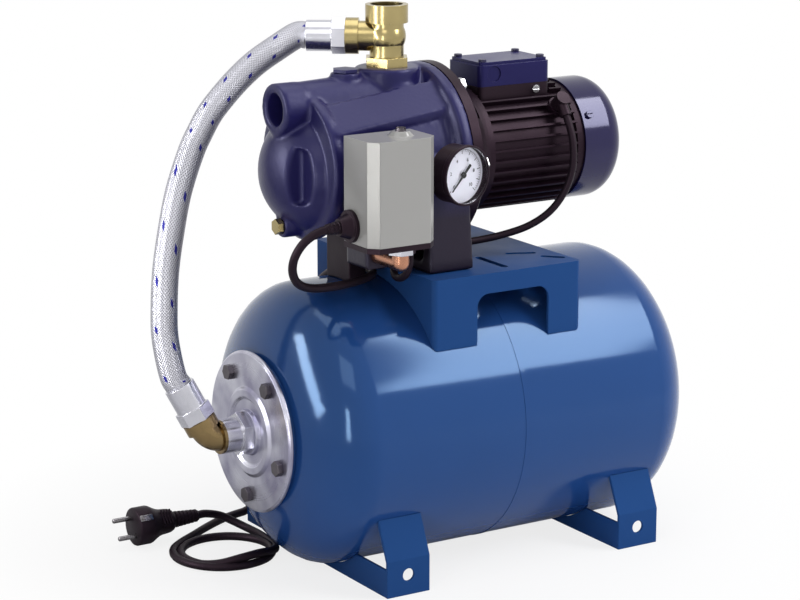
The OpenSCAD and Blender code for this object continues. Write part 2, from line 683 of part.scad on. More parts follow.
// Bracket between pump and motor: seal seat, front bearing pocket and lantern with windows
module motor_bracket() color(black_paint) centred() on_axis(bracket_x) difference() {
    union() {
        translate([0, 0, -spigot_t]) cylinder(r = cavity_r - slip, h = spigot_t + 1);
        rotate_extrude() polygon([[0, 0], [joint_flange_r, 0], [joint_flange_r, bracket_flange_t - 2],
            [joint_flange_r - 2, bracket_flange_t], [74, bracket_flange_t],
            [fin_r + 2, housing_x - bracket_x - 6], [fin_r + 1, housing_x - bracket_x],
            [stator_r - 2, housing_x - bracket_x], [stator_r - 2, bracket_flange_t + 4],
            [hub_r, bracket_flange_t],
            [hub_r, front_bearing_x + front_bearing_w + 2 - bracket_x],
            [0, front_bearing_x + front_bearing_w + 2 - bracket_x]]);
    }
    translate([0, 0, -spigot_t - 1]) cylinder(r = journal_r + 1, h = 80);
    translate([0, 0, -spigot_t - 1]) cylinder(r = seat_r + slip, h = seat_w + 1);
    translate([0, 0, front_bearing_x - bracket_x]) cylinder(r = front_bearing_r + slip, h = 40);
    for (i = [0:3]) rotate([0, 0, 45 + 90 * i]) translate([stator_r - 8, -9, bracket_flange_t + 4])
        cube([40, 18, housing_x - bracket_x - bracket_flange_t - 9]);
    joint_bolt_places() translate([0, 0, -1]) cylinder(r = m8_hole_r, h = bracket_flange_t + 2);
    joint_bolt_places() translate([0, 0, bracket_flange_t - spot_face]) cylinder(r = 9, h = 30);
    tie_rod_places() translate([0, 0, housing_x - bracket_x - 14]) cylinder(r = tie_rod_r + slip, h = 15);
}
module tie_rod_places() for (i = [0:3])
    rotate([0, 0, 22.5 + 90 * i]) translate([tie_rod_at, 0, 0]) children();

// Venturi that draws the suction water in with a jet
module ejector_tube() color(grey_shell) centred() on_axis(ejector_x) rotate_extrude()
    polygon([[6, 0], [16, 0], [16, 8], [13, 12], [14, 38], [throat_r - 3, diffuser_x0 - ejector_x - 5],
        [throat_r - 3, diffuser_x0 - ejector_x], [18, diffuser_x0 - ejector_x], [10, 38], [7, 14]]);
module diffuser() color(grey_shell) centred() on_axis(diffuser_x0) {
    ring(diffuser_r, eye_r, 4);
    ring(diffuser_r, diffuser_r - 3, bracket_x - spigot_t - diffuser_x0);
    for (i = [0:6]) rotate([0, 0, 360 * i / 7]) translate([eye_r + 2, -1.2, 3.9])
        cube([diffuser_r - eye_r - 4, 2.4, 12]);
}

// Closed impeller with swept-back blades between two shrouds
module impeller() color(brass) centred() on_axis(impeller_x0) difference() {
    union() {
        translate([0, 0, impeller_x1 - impeller_x0 - 3]) cylinder(r = impeller_r, h = 3);
        cylinder(r = 11, h = impeller_x1 - impeller_x0);
        ring(impeller_r, eye_r - 4, 3);
        translate([0, 0, -20]) ring(eye_r - clear - 0.2, eye_r - 4, 21);
        for (i = [0:blade_n - 1]) rotate([0, 0, 360 * i / blade_n]) intersection() {
            translate([0, 0, 2]) cylinder(r = impeller_r, h = impeller_x1 - impeller_x0 - 4);
            translate([impeller_r * 0.5, -impeller_r * 0.44, 0])
                ring(impeller_r * 0.6, impeller_r * 0.6 - 2.4, impeller_x1 - impeller_x0);
            translate([9, -5, 0]) cube([impeller_r, impeller_r, impeller_x1 - impeller_x0]);
        }
    }
    translate([0, 0, -1]) cylinder(r = impeller_bore_r + slip, h = 40);
}
module impeller_nut() color(steel) centred() on_axis(impeller_x0 - 7) difference() {
    hex(17, 7);
    translate([0, 0, -1]) cylinder(r = impeller_bore_r + slip, h = 9);
}
module seal_seat() color(grey_shell) centred() on_axis(bracket_x - spigot_t)
    ring(seat_r, journal_r + 1, seat_w);
module seal_ring() color(rubber) centred() on_axis(impeller_x1) ring(seat_r - 1, journal_r + slip,
    bracket_x - spigot_t - impeller_x1 - clear);

// Stepped shaft from impeller to fan
module motor_shaft() color(steel) centred() on_axis(0) rotate_extrude() polygon([[0, shaft_tip],
    [impeller_bore_r - 1, shaft_tip], [impeller_bore_r, shaft_tip + 1], [impeller_bore_r, impeller_x1],
    [journal_r, impeller_x1], [journal_r, core_x0 - 4], [core_bore_r, core_x0 - 4],
    [core_bore_r, core_x1 + 4], [rear_journal_r, core_x1 + 4],
    [rear_journal_r, rear_bearing_x + rear_bearing_w + 1],
    [fan_bore_r, rear_bearing_x + rear_bearing_w + 1], [fan_bore_r, shaft_end], [0, shaft_end]]);
module rotor_core() color(steel) centred() on_axis(core_x0) {
    ring(core_r, core_bore_r + slip, core_x1 - core_x0);
    translate([0, 0, -3]) ring(core_r - 2, core_r - 10, 3);
    translate([0, 0, core_x1 - core_x0]) ring(core_r - 2, core_r - 10, 3);
}
// Sealed ball bearing with recessed shields
module bearing(bore, outer, w) rotate_extrude() polygon([[bore, 0], [bore + 3, 0], [bore + 3.6, 0.8],
    [outer - 3.6, 0.8], [outer - 3, 0], [outer, 0], [outer, w], [outer - 3, w], [outer - 3.6, w - 0.8],
    [bore + 3.6, w - 0.8], [bore + 3, w], [bore, w]]);
module front_bearing() color(steel) centred() on_axis(front_bearing_x)
    bearing(journal_r + slip, front_bearing_r, front_bearing_w);
module rear_bearing() color(steel) centred() on_axis(rear_bearing_x)
    bearing(rear_journal_r + slip, rear_bearing_r, rear_bearing_w);
module stator() color(copper) centred() on_axis(core_x0) {
    ring(stator_r, core_r + 0.5, core_x1 - core_x0);
    translate([0, 0, -7]) ring(stator_r - 3, core_r + 4, 7);
    translate([0, 0, core_x1 - core_x0]) ring(stator_r - 3, core_r + 4, 7);
}

// Finned housing with a flat seat for the terminal box
module motor_housing() color(black_paint) centred() difference() {
    union() {
        on_axis(housing_x) {
            cylinder(r = housing_base_r, h = housing_len);
            cylinder(r = fin_r + 0.6, h = 6);
            translate([0, 0, housing_len - 12]) cylinder(r = shield_r, h = 12);
            for (i = [0:fin_n - 1]) rotate([0, 0, 360 * (i + 0.5) / fin_n])
                translate([housing_base_r - 2, -fin_t / 2, 0])
                    cube([fin_r - housing_base_r + 2, fin_t, housing_len - 11]);
        }
        gland_boss();
        translate([box_x - box_len / 2, -box_w / 2, axis_z]) cube([box_len, box_w, box_z0 - axis_z]);
    }
    translate([box_x - box_len / 2 - 1, -box_w / 2 - 1, box_z0]) cube([box_len + 2, box_w + 2, 30]);
    on_axis(housing_x - 1) cylinder(r = stator_r + slip, h = housing_len + 2);
    on_axis(housing_x - 1) tie_rod_places() cylinder(r = tie_rod_r + slip, h = housing_len + 2);
}
module gland_boss() pointing([gland_x, 0, axis_z], [0, -cos(gland_turn), sin(gland_turn)])
    translate([0, 0, housing_base_r - 3]) cylinder(r = gland_r + 2, h = fin_r + 2 - housing_base_r + 3);
module end_shield() color(black_paint) centred() on_axis(housing_end) difference() {
    union() {
        cylinder(r = shield_r, h = shield_t);
        translate([0, 0, rear_bearing_x - housing_end - 2]) cylinder(r = rear_bearing_r + 5,
            h = housing_end - rear_bearing_x + 4);
    }
    translate([0, 0, rear_bearing_x - housing_end - 3])
        cylinder(r = rear_bearing_r + slip, h = rear_bearing_w + 3);
    translate([0, 0, -20]) cylinder(r = rear_journal_r + 1, h = 40);
    tie_rod_places() translate([0, 0, -1]) cylinder(r = tie_rod_r + slip, h = shield_t + 2);
    for (a = [0, 120, 240]) rotate([0, 0, a]) translate([0, 0, shield_t / 2]) rotate([0, 90, 0])
        translate([0, 0, shield_r - 9]) cylinder(r = m4_r + slip, h = 10);
}
module tie_rods() color(steel) centred() on_axis(housing_end + shield_t) tie_rod_places()
    hex_screw(8, 3.5, tie_rod_r, shield_t + housing_len + 11);
// Radial fan on the shaft's end
module cooling_fan() color(rubber) centred() on_axis(fan_x) difference() {
    union() {
        cylinder(r = 12, h = fan_w);
        cylinder(r = fan_r - 6, h = 2);
        for (i = [0:7]) rotate([0, 0, 45 * i]) translate([8, -1, 0]) cube([fan_r - 8, 2, fan_w - 2]);
    }
    translate([0, 0, -1]) cylinder(r = fan_bore_r + slip, h = fan_w + 2);
}

// Fan cover: rounded cup with rings of air slots in its end
module cup_form(r, edge, h) rotate_extrude() {
    square([r, h - edge]);
    square([r - edge, h]);
    translate([r - edge, h - edge]) intersection() {
        circle(r = edge);
        square(edge);
    }
}
module fan_cover() color(navy_paint) centred() on_axis(cover_x) difference() {
    cup_form(cover_r, cover_edge_r, cover_len);
    translate([0, 0, -cover_wall]) cup_form(cover_r - cover_wall, cover_edge_r - cover_wall, cover_len);
    for (k = [0:3]) difference() {
        translate([0, 0, cover_len - cover_wall - 1]) ring(12 + 7 * k + 4, 12 + 7 * k, cover_wall + 2);
        for (i = [0:2]) rotate([0, 0, 30 + 60 * i]) translate([-cover_r, -2.5, cover_len - cover_wall - 2])
            cube([2 * cover_r, 5, cover_wall + 4]);
    }
    for (a = [0, 120, 240]) rotate([0, 0, a]) translate([0, 0, housing_end + shield_t / 2 - cover_x])
        rotate([0, 90, 0]) translate([0, 0, cover_r - 6]) cylinder(r = m4_r + slip, h = 10);
}
module fan_cover_screws() color(steel) centred() on_axis(housing_end + shield_t / 2) for (a = [0, 120, 240])
    rotate([0, 0, a]) rotate([0, 90, 0]) translate([0, 0, cover_r + 0.05]) pan_screw(8);

// Terminal box on the motor, with lid
module terminal_box() color(black_paint) centred() translate([box_x, 0, box_z0]) difference() {
    round_bar(box_len, box_w, box_corner, box_split - box_z0);
    difference() {
        translate([0, 0, box_wall])
            round_bar(box_len - 2 * box_wall, box_w - 2 * box_wall, box_corner - box_wall, 30);
        lid_screw_places() cylinder(r = lid_post_r, h = box_split - box_z0);
    }
    translate([0, 0, box_wall]) lid_screw_places() cylinder(r = m4_r + slip, h = 30);
    translate([earth_x, -box_w / 2 - 1, earth_z - box_z0]) rotate([-90, 0, 0])
        cylinder(r = m4_r + slip, h = box_wall + 2);
}
module terminal_lid() color(navy_paint) centred() translate([box_x, 0, box_split]) difference() {
    union() {
        round_bar(box_len, box_w, box_corner, box_top - box_split - 3);
        round_bar(box_len - 4, box_w - 4, box_corner - 2, box_top - box_split);
    }
    difference() {
        translate([0, 0, -1]) round_bar(box_len - 2 * box_wall, box_w - 2 * box_wall, box_corner - box_wall,
            box_top - box_split + 1 - box_wall);
        lid_screw_places() cylinder(r = lid_post_r, h = 60, center = true);
    }
    lid_screw_places() cylinder(r = m4_r + slip, h = 60, center = true);
    translate([-box_len / 2 + 16, -box_w / 2 - 0.1, (box_top - box_split) / 2]) rotate([-90, 0, 0])
        cylinder(r = 7.5, h = 1.3);
}
module lid_screw_places() for (sx = [-1, 1], sy = [-1, 1])
    translate([sx * (box_len / 2 - 7), sy * (box_w / 2 - 7), 0]) children();
module terminal_screws() color(steel) centred() translate([box_x, 0, 0]) {
    translate([0, 0, box_top]) lid_screw_places() pan_screw(box_top - box_split + 8);
    translate([earth_x, -box_w / 2, earth_z]) rotate([90, 0, 0]) pan_screw(box_wall + 1);
}
module run_capacitor() color(grey_shell) centred()
    translate([box_x - box_len / 2 + 9, 0, box_z0 + box_wall + capacitor_r + clear])
        rotate([0, 90, 0]) cylinder(r = capacitor_r, h = box_len - 18);
module motor_gland() color(rubber) centred() {
    pointing([gland_x, 0, axis_z], [0, -cos(gland_turn), sin(gland_turn)]) translate([0, 0, fin_r + 2])
        cylinder(r = gland_r, h = gland_reach - fin_r + 4);
    pointing(gland_top, gland_dir) cylinder(r = motor_lead_r + 2, h = gland_len);
}

// Pressure switch: its stem, plunger and cover screw share one axis
module switch_at(z) translate([switch_x, switch_y, z]) children();
module stem_at(z) translate([stem_x, switch_y, z]) children();
module switch_outline(inset) {
    w = switch_w / 2 - inset;
    d = switch_d / 2 - inset;
    c = switch_chamfer - inset * (2 - sqrt(2));
    polygon([[-w, d], [w, d], [w, c - d], [w - c, -d], [c - w, -d], [-w, c - d]]);
}
module switch_base() color(black_paint) centred() difference() {
    union() {
        switch_at(switch_z0 - switch_base_t) linear_extrude(switch_base_t) switch_outline(0);
        stem_at(switch_z0 - switch_base_t) {
            translate([0, 0, switch_base_t]) cylinder(r = 15, h = 14);
            translate([0, 0, -switch_nut_h]) cylinder(r = switch_stem_r, h = switch_nut_h + 1);
            for (s = [-1, 1]) translate([s * 15 - 1.5, lever_pin_y - switch_y - 5, 0])
                cube([3, 10, gantry_z - switch_z0 + switch_base_t]);
            translate([-16.5, lever_pin_y - switch_y - 5, gantry_z - switch_z0 + switch_base_t - gantry_t])
                cube([33, 32, gantry_t]);
        }
    }
    stem_at(switch_z0 - 2) cylinder(r = plunger_r + slip, h = 30);
    stem_at(gantry_z - gantry_t - 1) cylinder(r = m6_r + slip, h = gantry_t + 2);
    translate([stem_x - 30, lever_pin_y, lever_z]) rotate([0, 90, 0])
        cylinder(r = lever_pin_r + slip, h = 60);
    translate([base_gland_x, base_gland_y, switch_z0 - switch_base_t - 1])
        cylinder(r = base_gland_r - 3 + slip, h = switch_base_t + 2);
}
module switch_cover() color(grey_shell) centred() difference() {
    union() {
        switch_at(switch_z0) linear_extrude(switch_h) switch_outline(0);
        stem_at(switch_z0 + switch_h) cylinder(r1 = 12, r2 = 8, h = 4);
    }
    switch_at(switch_z0 - 1) linear_extrude(switch_h + 1 - switch_wall) switch_outline(switch_wall);
    stem_at(switch_z0) cylinder(r = m6_r + slip, h = switch_h + 10);
    translate([switch_x - switch_w / 2 - 1, side_gland_y, side_gland_z]) rotate([0, 90, 0])
        cylinder(r = side_gland_r - 4 + slip, h = switch_wall + 2);
}
module cover_screw() color(steel) centred() stem_at(switch_z0 + switch_h + 4) {
    cylinder(r = 5, h = 3);
    translate([0, 0, gantry_z - gantry_t - switch_z0 - switch_h - 6]) cylinder(r = m6_r,
        h = switch_z0 + switch_h + 7 - gantry_z + gantry_t);
}
module switch_nut() color(zinc) centred() stem_at(switch_z0 - switch_base_t - switch_nut_h) difference() {
    hex(switch_nut_af, switch_nut_h);
    translate([0, 0, -1]) cylinder(r = switch_stem_r + slip, h = switch_nut_h + 2);
}
module switch_elbow() color(copper) centred() {
    translate([stem_x, switch_y, switch_pipe_z]) {
        sphere(r = switch_pipe_r);
        cylinder(r = switch_pipe_r, h = switch_pipe_r);
    }
    along_y([stem_x, switch_y, switch_pipe_z]) cylinder(r = switch_pipe_r, h = lug_y - switch_y);
    along_y([stem_x, lug_y - 2, switch_pipe_z]) cylinder(r = switch_thread_r, h = 20);
}
module switch_plunger() color(zinc) centred() stem_at(switch_z0 - 1) {
    cylinder(r = plunger_r, h = lever_z - 5 - switch_z0 + 1);
    cylinder(r = plunger_tip_r, h = lever_z - lever_t / 2 - tip_gap - switch_z0 + 1);
}
module switch_lever() color(zinc) centred() {
    translate([stem_x - 11, lever_pin_y - 4, lever_z - lever_t / 2]) cube([22, 38, lever_t]);
    translate([stem_x - 18, lever_pin_y, lever_z]) rotate([0, 90, 0]) cylinder(r = lever_pin_r, h = 36);
}
module switch_glands() color(rubber) centred() {
    translate([switch_x - switch_w / 2, side_gland_y, side_gland_z]) rotate([0, -90, 0]) {
        cylinder(r = side_gland_r, h = 4);
        cylinder(r1 = side_gland_r - 2, r2 = lead_r + 4, h = side_gland_len);
        translate([0, 0, -switch_wall - 5]) cylinder(r = side_gland_r - 4, h = switch_wall + 6);
    }
    translate([base_gland_x, base_gland_y, base_gland_z]) {
        cylinder(r1 = motor_lead_r + 2, r2 = base_gland_r - 1, h = base_gland_len);
        translate([0, 0, base_gland_len - 3]) cylinder(r = base_gland_r, h = 3);
        cylinder(r = base_gland_r - 3, h = base_gland_len + switch_base_t + 1);
    }
}

// Pressure gauge on the operating side, turned a little towards the motor
module gauge_turned() translate([gauge_x, gauge_pivot, 0]) rotate([0, 0, gauge_turn])
    translate([-gauge_x, -gauge_pivot, 0]) children();
module gauge_case() color(black_paint) centred() gauge_turned() {
    along_y([gauge_x, gauge_face, gauge_z]) difference() {
        cup_back();
        translate([0, 0, -1]) cylinder(r = gauge_r - gauge_rim, h = gauge_d - 3 + 1);
    }
    along_y([gauge_x, gauge_back, gauge_z]) hex(14, 4);
    along_y([gauge_x, gauge_back, gauge_z]) cylinder(r = gauge_stem_r, h = 22);
}
module cup_back() rotate_extrude() polygon([[0, gauge_d], [gauge_r - 3, gauge_d], [gauge_r - 1, gauge_d - 2],
    [gauge_r - 1, 6], [gauge_r, 5], [gauge_r, 0.6], [gauge_r - 0.6, 0], [0, 0]]);
module gauge_dial() color("white") centred() gauge_turned() along_y([gauge_x, dial_y, gauge_z])
    ring(gauge_r - gauge_rim - slip, needle_pin_r + slip, dial_t);
module gauge_needle() color("black") centred() gauge_turned() along_y([gauge_x, needle_y, gauge_z]) {
    cylinder(r = needle_pin_r, h = dial_y + dial_t - needle_y + 1);
    cylinder(r = 3, h = 1);
    rotate([0, 0, -135]) linear_extrude(1)
        polygon([[-1.2, 12], [1.2, 12], [0.9, 0], [0.3, -20], [-0.3, -20], [-0.9, 0]]);
}
module gauge_lens() color([0.9, 0.95, 1, 0.3]) centred() gauge_turned()
    along_y([gauge_x, gauge_face + 0.8, gauge_z]) cylinder(r = gauge_r - gauge_rim - slip, h = lens_t);

// Pipework
module discharge_tee() color(brass) centred() difference() {
    union() {
        translate([tee_x, 0, tee_z]) {
            translate([0, 0, -14]) cylinder(r = port_r, h = 15);
            hex(2 * tee_r - 2, 9);
            cylinder(r = tee_r - 4, h = tee_h - 1);
            translate([0, 0, tee_h - 17]) cylinder(r = tee_r, h = 17);
            translate([0, 0, branch_rise]) sphere(r = tee_r - 2);
        }
        pointing([tee_x, 0, branch_z], branch_dir) {
            cylinder(r = branch_r - 3, h = branch_len);
            translate([0, 0, branch_len - 12]) cylinder(r = branch_r, h = 12);
        }
    }
    translate([tee_x, 0, tee_z - 15]) cylinder(r = 11, h = tee_h);
    translate([tee_x, 0, tee_z + tee_h - 15]) cylinder(r = port_r, h = 16);
    pointing([tee_x, 0, branch_z], branch_dir) cylinder(r = 9, h = branch_len + 1);
}
module tank_nipple() color(zinc) centred() on_tank(nipple_x) difference() {
    union() {
        translate([0, 0, -nipple_hex_t]) hex(nipple_hex, nipple_hex_t);
        translate([0, 0, -nipple_len]) cylinder(r = nipple_r + 1, h = nipple_len - nipple_hex_t + 1);
        cylinder(r = nipple_r, h = flange_t + flange_boss_h + 4);
    }
    translate([0, 0, -nipple_len - 1]) cylinder(r = 9, h = nipple_len + 30);
}
module tank_elbow() color(brass) centred() {
    translate([elbow_x, 0, tank_z]) rotate([-elbow_roll, 0, 0]) translate([0, 0, elbow_bend_r])
        rotate([-90, 90, 0]) rotate_extrude(angle = elbow_turn) translate([elbow_bend_r, 0]) difference() {
            circle(r = elbow_r);
            circle(r = elbow_r - elbow_wall);
        }
    on_tank(elbow_x) translate([0, 0, -3]) ring(elbow_collar_r, elbow_r - elbow_wall / 2, 3);
    pointing(outlet - (elbow_collar_h + 1) * outlet_dir, outlet_dir)
        ring(elbow_collar_r, elbow_r - elbow_wall / 2, elbow_collar_h + 1);
}
module hose() color(zinc) centred() tube(hose_route, hose_r, 12);
module hose_end() {
    hex(hose_nut_af, hose_nut_len);
    translate([0, 0, hose_nut_len - 1]) cylinder(r = ferrule_r, h = ferrule_len - hose_nut_len + 1);
}
module hose_fittings() color(zinc) centred() {
    pointing([tee_x, 0, branch_z] + branch_dir * branch_len, branch_dir) hose_end();
    pointing(outlet, outlet_dir) hose_end();
}

// Leads and plug
module motor_lead() color(rubber) centred() tube(motor_route, motor_lead_r, 8);
module mains_lead() color(rubber) centred() {
    tube(mains_route, lead_r, 8);
    tube(tail_route, lead_r, 8);
}
module mains_coil() color(rubber) centred() translate([coil_at[0], coil_at[1], 0.2])
    ring(coil_out, coil_in, 2 * lead_r);
module mains_plug() color(rubber) centred() translate([plug_face, plug_y, plug_z]) rotate([0, 90, 0]) {
    rotate_extrude() polygon([[0, 0], [plug_r - 1, 0], [plug_r, 1], [plug_r, 16], [plug_r - 3, 22],
        [13, 28], [11, 40], [8, 42], [6, boot_end - plug_face], [0, boot_end - plug_face]]);
    for (s = [-1, 1]) rotate([0, 0, 40]) translate([s * 9.5, 0, -19]) cylinder(r = 2.4, h = 19);
}

tank_shell();
tank_membrane();
tank_flange();
flange_bolts();
air_valve();
air_valve_pin();
air_valve_cap();
foot_front();
foot_rear();
pump_platform();
platform_bolts();
pump_casing();
casing_rest();
drain_plug();
priming_plug();
casing_bolts();
motor_bracket();
ejector_tube();
diffuser();
impeller();
impeller_nut();
seal_seat();
seal_ring();
motor_shaft();
rotor_core();
front_bearing();
rear_bearing();
stator();
motor_housing();
end_shield();
tie_rods();
cooling_fan();
fan_cover();
fan_cover_screws();
terminal_box();
terminal_lid();
terminal_screws();
run_capacitor();
motor_gland();
switch_base();
switch_cover();
cover_screw();
switch_nut();
switch_elbow();
switch_plunger();
switch_lever();
switch_glands();
gauge_case();
gauge_dial();
gauge_needle();
gauge_lens();
discharge_tee();
tank_nipple();
tank_elbow();
hose();
hose_fittings();
motor_lead();
mains_lead();
mains_coil();
mains_plug();
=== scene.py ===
# %% [markdown]
# # Booster pump set
# A jet pump with its motor stands on a horizontal pressure tank. The solids come packed from CAD, and this
# lesson dresses them: it sets the camera, lays the hose and the leads, and gives every surface its finish.

import json
import math

import bmesh
import bpy
from mathutils import Matrix, Vector


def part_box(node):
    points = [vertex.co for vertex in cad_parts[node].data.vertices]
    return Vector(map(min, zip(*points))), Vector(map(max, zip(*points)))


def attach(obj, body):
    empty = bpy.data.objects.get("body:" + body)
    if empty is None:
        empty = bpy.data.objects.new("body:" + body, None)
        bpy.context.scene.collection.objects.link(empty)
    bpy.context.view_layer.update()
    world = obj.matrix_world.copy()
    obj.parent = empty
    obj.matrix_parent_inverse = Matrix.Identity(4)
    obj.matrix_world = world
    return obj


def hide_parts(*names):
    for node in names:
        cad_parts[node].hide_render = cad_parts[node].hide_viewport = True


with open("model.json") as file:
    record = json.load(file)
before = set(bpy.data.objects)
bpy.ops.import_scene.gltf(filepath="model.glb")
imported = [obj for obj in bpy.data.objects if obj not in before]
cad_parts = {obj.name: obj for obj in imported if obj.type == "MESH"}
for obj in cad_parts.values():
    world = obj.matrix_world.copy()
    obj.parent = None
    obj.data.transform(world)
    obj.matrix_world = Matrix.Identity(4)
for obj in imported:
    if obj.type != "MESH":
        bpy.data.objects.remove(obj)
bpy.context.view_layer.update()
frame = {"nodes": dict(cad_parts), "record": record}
nodes = frame["nodes"]

# %% [markdown]
# ## Places
# The solids were drawn from the tank's middle, which lies halfway between the two feet. Every place below is
# given in millimetres from there, as in the part's source, and `at` turns it into the frame's metres.

# %% Places from the frame


def middle(node):
    low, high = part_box(node)
    return (Vector(low) + Vector(high)) / 2


tank_x = (middle("foot_front").x + middle("foot_rear").x) / 2


def at(x, y, z):
    return Vector((x / 1000 + tank_x, y / 1000, z / 1000))


axis_z = middle("motor_shaft").z * 1000
tank_z = middle("air_valve").z * 1000
print("tank middle at", round(tank_x, 4), "pump axis", round(axis_z, 1), "tank axis", round(tank_z, 1))

# %% [markdown]
# ## Camera
# The photograph was taken from the left of the operating side and a little above. A long lens keeps the
# tank's two ends almost the same size. The camera looks straight at a point on the set, with no shift.

# %% Camera
camera_data = bpy.data.cameras.new("camera")
camera_data.sensor_width = 36
camera_data.lens = 118.3
camera = bpy.data.objects.new("camera", camera_data)
bpy.context.collection.objects.link(camera)
camera.location = at(-1344.5, -2075.2, 833.6)
look = at(-57.4, 0, 242.4) - camera.location
camera.rotation_euler = look.to_track_quat("-Z", "Y").to_euler()
bpy.context.scene.camera = camera
print("camera", round(look.length, 3), "m from its target")

# %% [markdown]
# ## Hose and leads
# A hose or a lead is a round section on one smooth line. The line runs through listed points by a
# Catmull-Rom curve, because that passes through every point without corners. A Blender curve with a round
# bevel gives the section, and turning it into a mesh keeps a UV map that runs round and along it, which the
# braid of the hose needs.

# %% Smooth lines and tubes


def smooth_line(points, steps):
    line = []
    for i in range(len(points) - 1):
        a, b = points[max(i - 1, 0)], points[i]
        c, d = points[i + 1], points[min(i + 2, len(points) - 1)]
        for k in range(steps):
            f = k / steps
            line.append(
                0.5
                * (2 * b + (c - a) * f + (2 * a - 5 * b + 4 * c - d) * f**2 + (3 * b - a - 3 * c + d) * f**3)
            )
    return line + [points[-1]]


def line_length(line):
    return sum((b - a).length for a, b in zip(line, line[1:]))


def final_mesh(piece):
    bpy.context.view_layer.update()
    return bpy.data.meshes.new_from_object(piece.evaluated_get(bpy.context.evaluated_depsgraph_get()))


def tube(name, line, radius, detail):
    curve = bpy.data.curves.new(name, "CURVE")
    curve.dimensions = "3D"
    curve.bevel_depth = radius
    curve.bevel_resolution = detail
    curve.use_fill_caps = True
    spline = curve.splines.new("POLY")
    spline.points.add(len(line) - 1)
    for point, place in zip(spline.points, line):
        point.co = (*place, 1)
    helper = bpy.data.objects.new(name + "_line", curve)
    bpy.context.collection.objects.link(helper)
    mesh = final_mesh(helper)
    bpy.data.objects.remove(helper)
    mesh.name = name
    mesh.shade_smooth()
    piece = bpy.data.objects.new(name, mesh)
    bpy.context.collection.objects.link(piece)
    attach(piece, "set")
    return piece


# %% [markdown]
# The braided hose leaves the tee, bows out in front of the pump's nose and comes down into the elbow on the
# tank. It is stiff, so it keeps one wide arc.

# %% Braided hose
hose_r = 0.0125
branch_yaw, branch_len = math.radians(35), 0.075
branch_out = Vector((-math.cos(branch_yaw), math.sin(branch_yaw), 0))
tee_x, tee_rise = -72, 114
hose_top = at(tee_x, 0, axis_z + tee_rise) + branch_out * branch_len
elbow_x, elbow_r, low_sleeve = -253.075, 18, 0.046
elbow_turn, elbow_roll = math.radians(66), math.radians(15)
elbow_up = Vector((0, math.sin(elbow_roll), math.cos(elbow_roll)))
elbow_out = elbow_up * math.sin(elbow_turn) - Vector((math.cos(elbow_turn), 0, 0))
elbow_rise = elbow_up * elbow_r * (1 - math.cos(elbow_turn))
elbow_end = at(elbow_x - elbow_r * math.sin(elbow_turn), elbow_rise.y, tank_z + elbow_rise.z)
hose_low = elbow_end + elbow_out * low_sleeve
hose_route = (
    [hose_top, hose_top + branch_out * 0.009]
    + [at(-158, 57, 485), at(-176, 62, 473), at(-193, 65, 459), at(-210, 66, 443), at(-224, 66, 428)]
    + [at(-235, 65, 412), at(-246, 63, 394), at(-262, 58, 360), at(-274, 51, 326), at(-285, 42, 291)]
    + [at(-292, 33, 257), at(-295, 26, 230), hose_low + elbow_out * 0.012, hose_low]
)
hose_line = smooth_line(hose_route, 8)
hose = tube("braided_hose", hose_line, hose_r, 10)
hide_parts("hose")
print("hose", round(line_length(hose_line), 3), "m")

# %% [markdown]
# The motor lead drops from its gland on the motor, sags under the motor, passes through the window in the
# pump's pedestal and rises into the switch from below.

# %% Motor lead
motor_lead_r = 0.0035
gland_turn, gland_tilt = math.radians(42), math.radians(15)
gland_x, gland_reach, gland_len = 91, 69, 0.016
gland_top = at(gland_x, -gland_reach * math.cos(gland_turn), axis_z + gland_reach * math.sin(gland_turn))
gland_dir = Vector((0, -math.cos(gland_turn + gland_tilt), -math.sin(gland_turn + gland_tilt)))
gland_out = gland_top + gland_dir * gland_len
motor_route = (
    [gland_out, gland_out + gland_dir * 0.013]
    + [at(90.5, -73, 390), at(88, -76, 368), at(81, -73.5, 346), at(69, -67, 327), at(51, -58, 313.5)]
    + [at(27, -50, 306), at(0, -45, 302.5), at(-35, -43, 302), at(-71, -43, 302), at(-86, -45, 297)]
    + [at(-96, -52, 289.5), at(-102, -63, 284.5), at(-104, -75, 284.5), at(-104.5, -86, 290)]
    + [at(-104, -91.5, 300), at(-104, -92, 311)]
)
motor_line = smooth_line(motor_route, 8)
motor_lead = tube("motor_cable", motor_line, motor_lead_r, 4)
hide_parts("motor_lead")
print("motor lead", round(line_length(motor_line), 3), "m")

# %% [markdown]
# The mains lead leaves the switch, goes under the pump and down behind the tank, and ends in a loose loop of
# nearly two turns by the flange. The second turn lies inside the first, rises over it in a long low hump and
# runs to the plug.

# %% Mains lead
mains_lead_r, lead_z = 0.004, 4.2
mains_out = at(-181, -94.5, 344)
mains_route = (
    [mains_out, mains_out - Vector((0.012, 0, 0.0005))]
    + [at(-205, -92.5, 339.5), at(-214.5, -88.5, 331), at(-220, -83.5, 318), at(-219, -78.5, 304.5)]
    + [at(-211, -73.5, 292.5), at(-195, -68.5, 285), at(-168, -63, 282), at(-139, -54.5, 281.5)]
    + [at(-113, -39, 281), at(-99, -15, 280), at(-97, 12, 278.5), at(-97, 46, 271)]
    + [at(-97, 80, 253), at(-98, 108, 228), at(-100, 129, 194), at(-103, 140, 156), at(-108, 145, 110)]
    + [at(-115, 148, 65), at(-123, 151, 30), at(-133, 152, 11), at(-150, 150, lead_z), at(-176, 142, lead_z)]
    + [at(-203, 127, lead_z), at(-227, 111, lead_z)]
)
coil_x, coil_y, coil_wide, coil_narrow = -222, 54, 50.5, 42.0
turn_start, turn_end, loop_points = 119.6, 722.3, 25
hump_start, hump_span, hump_height = 570, 140, 8.4
loops = []
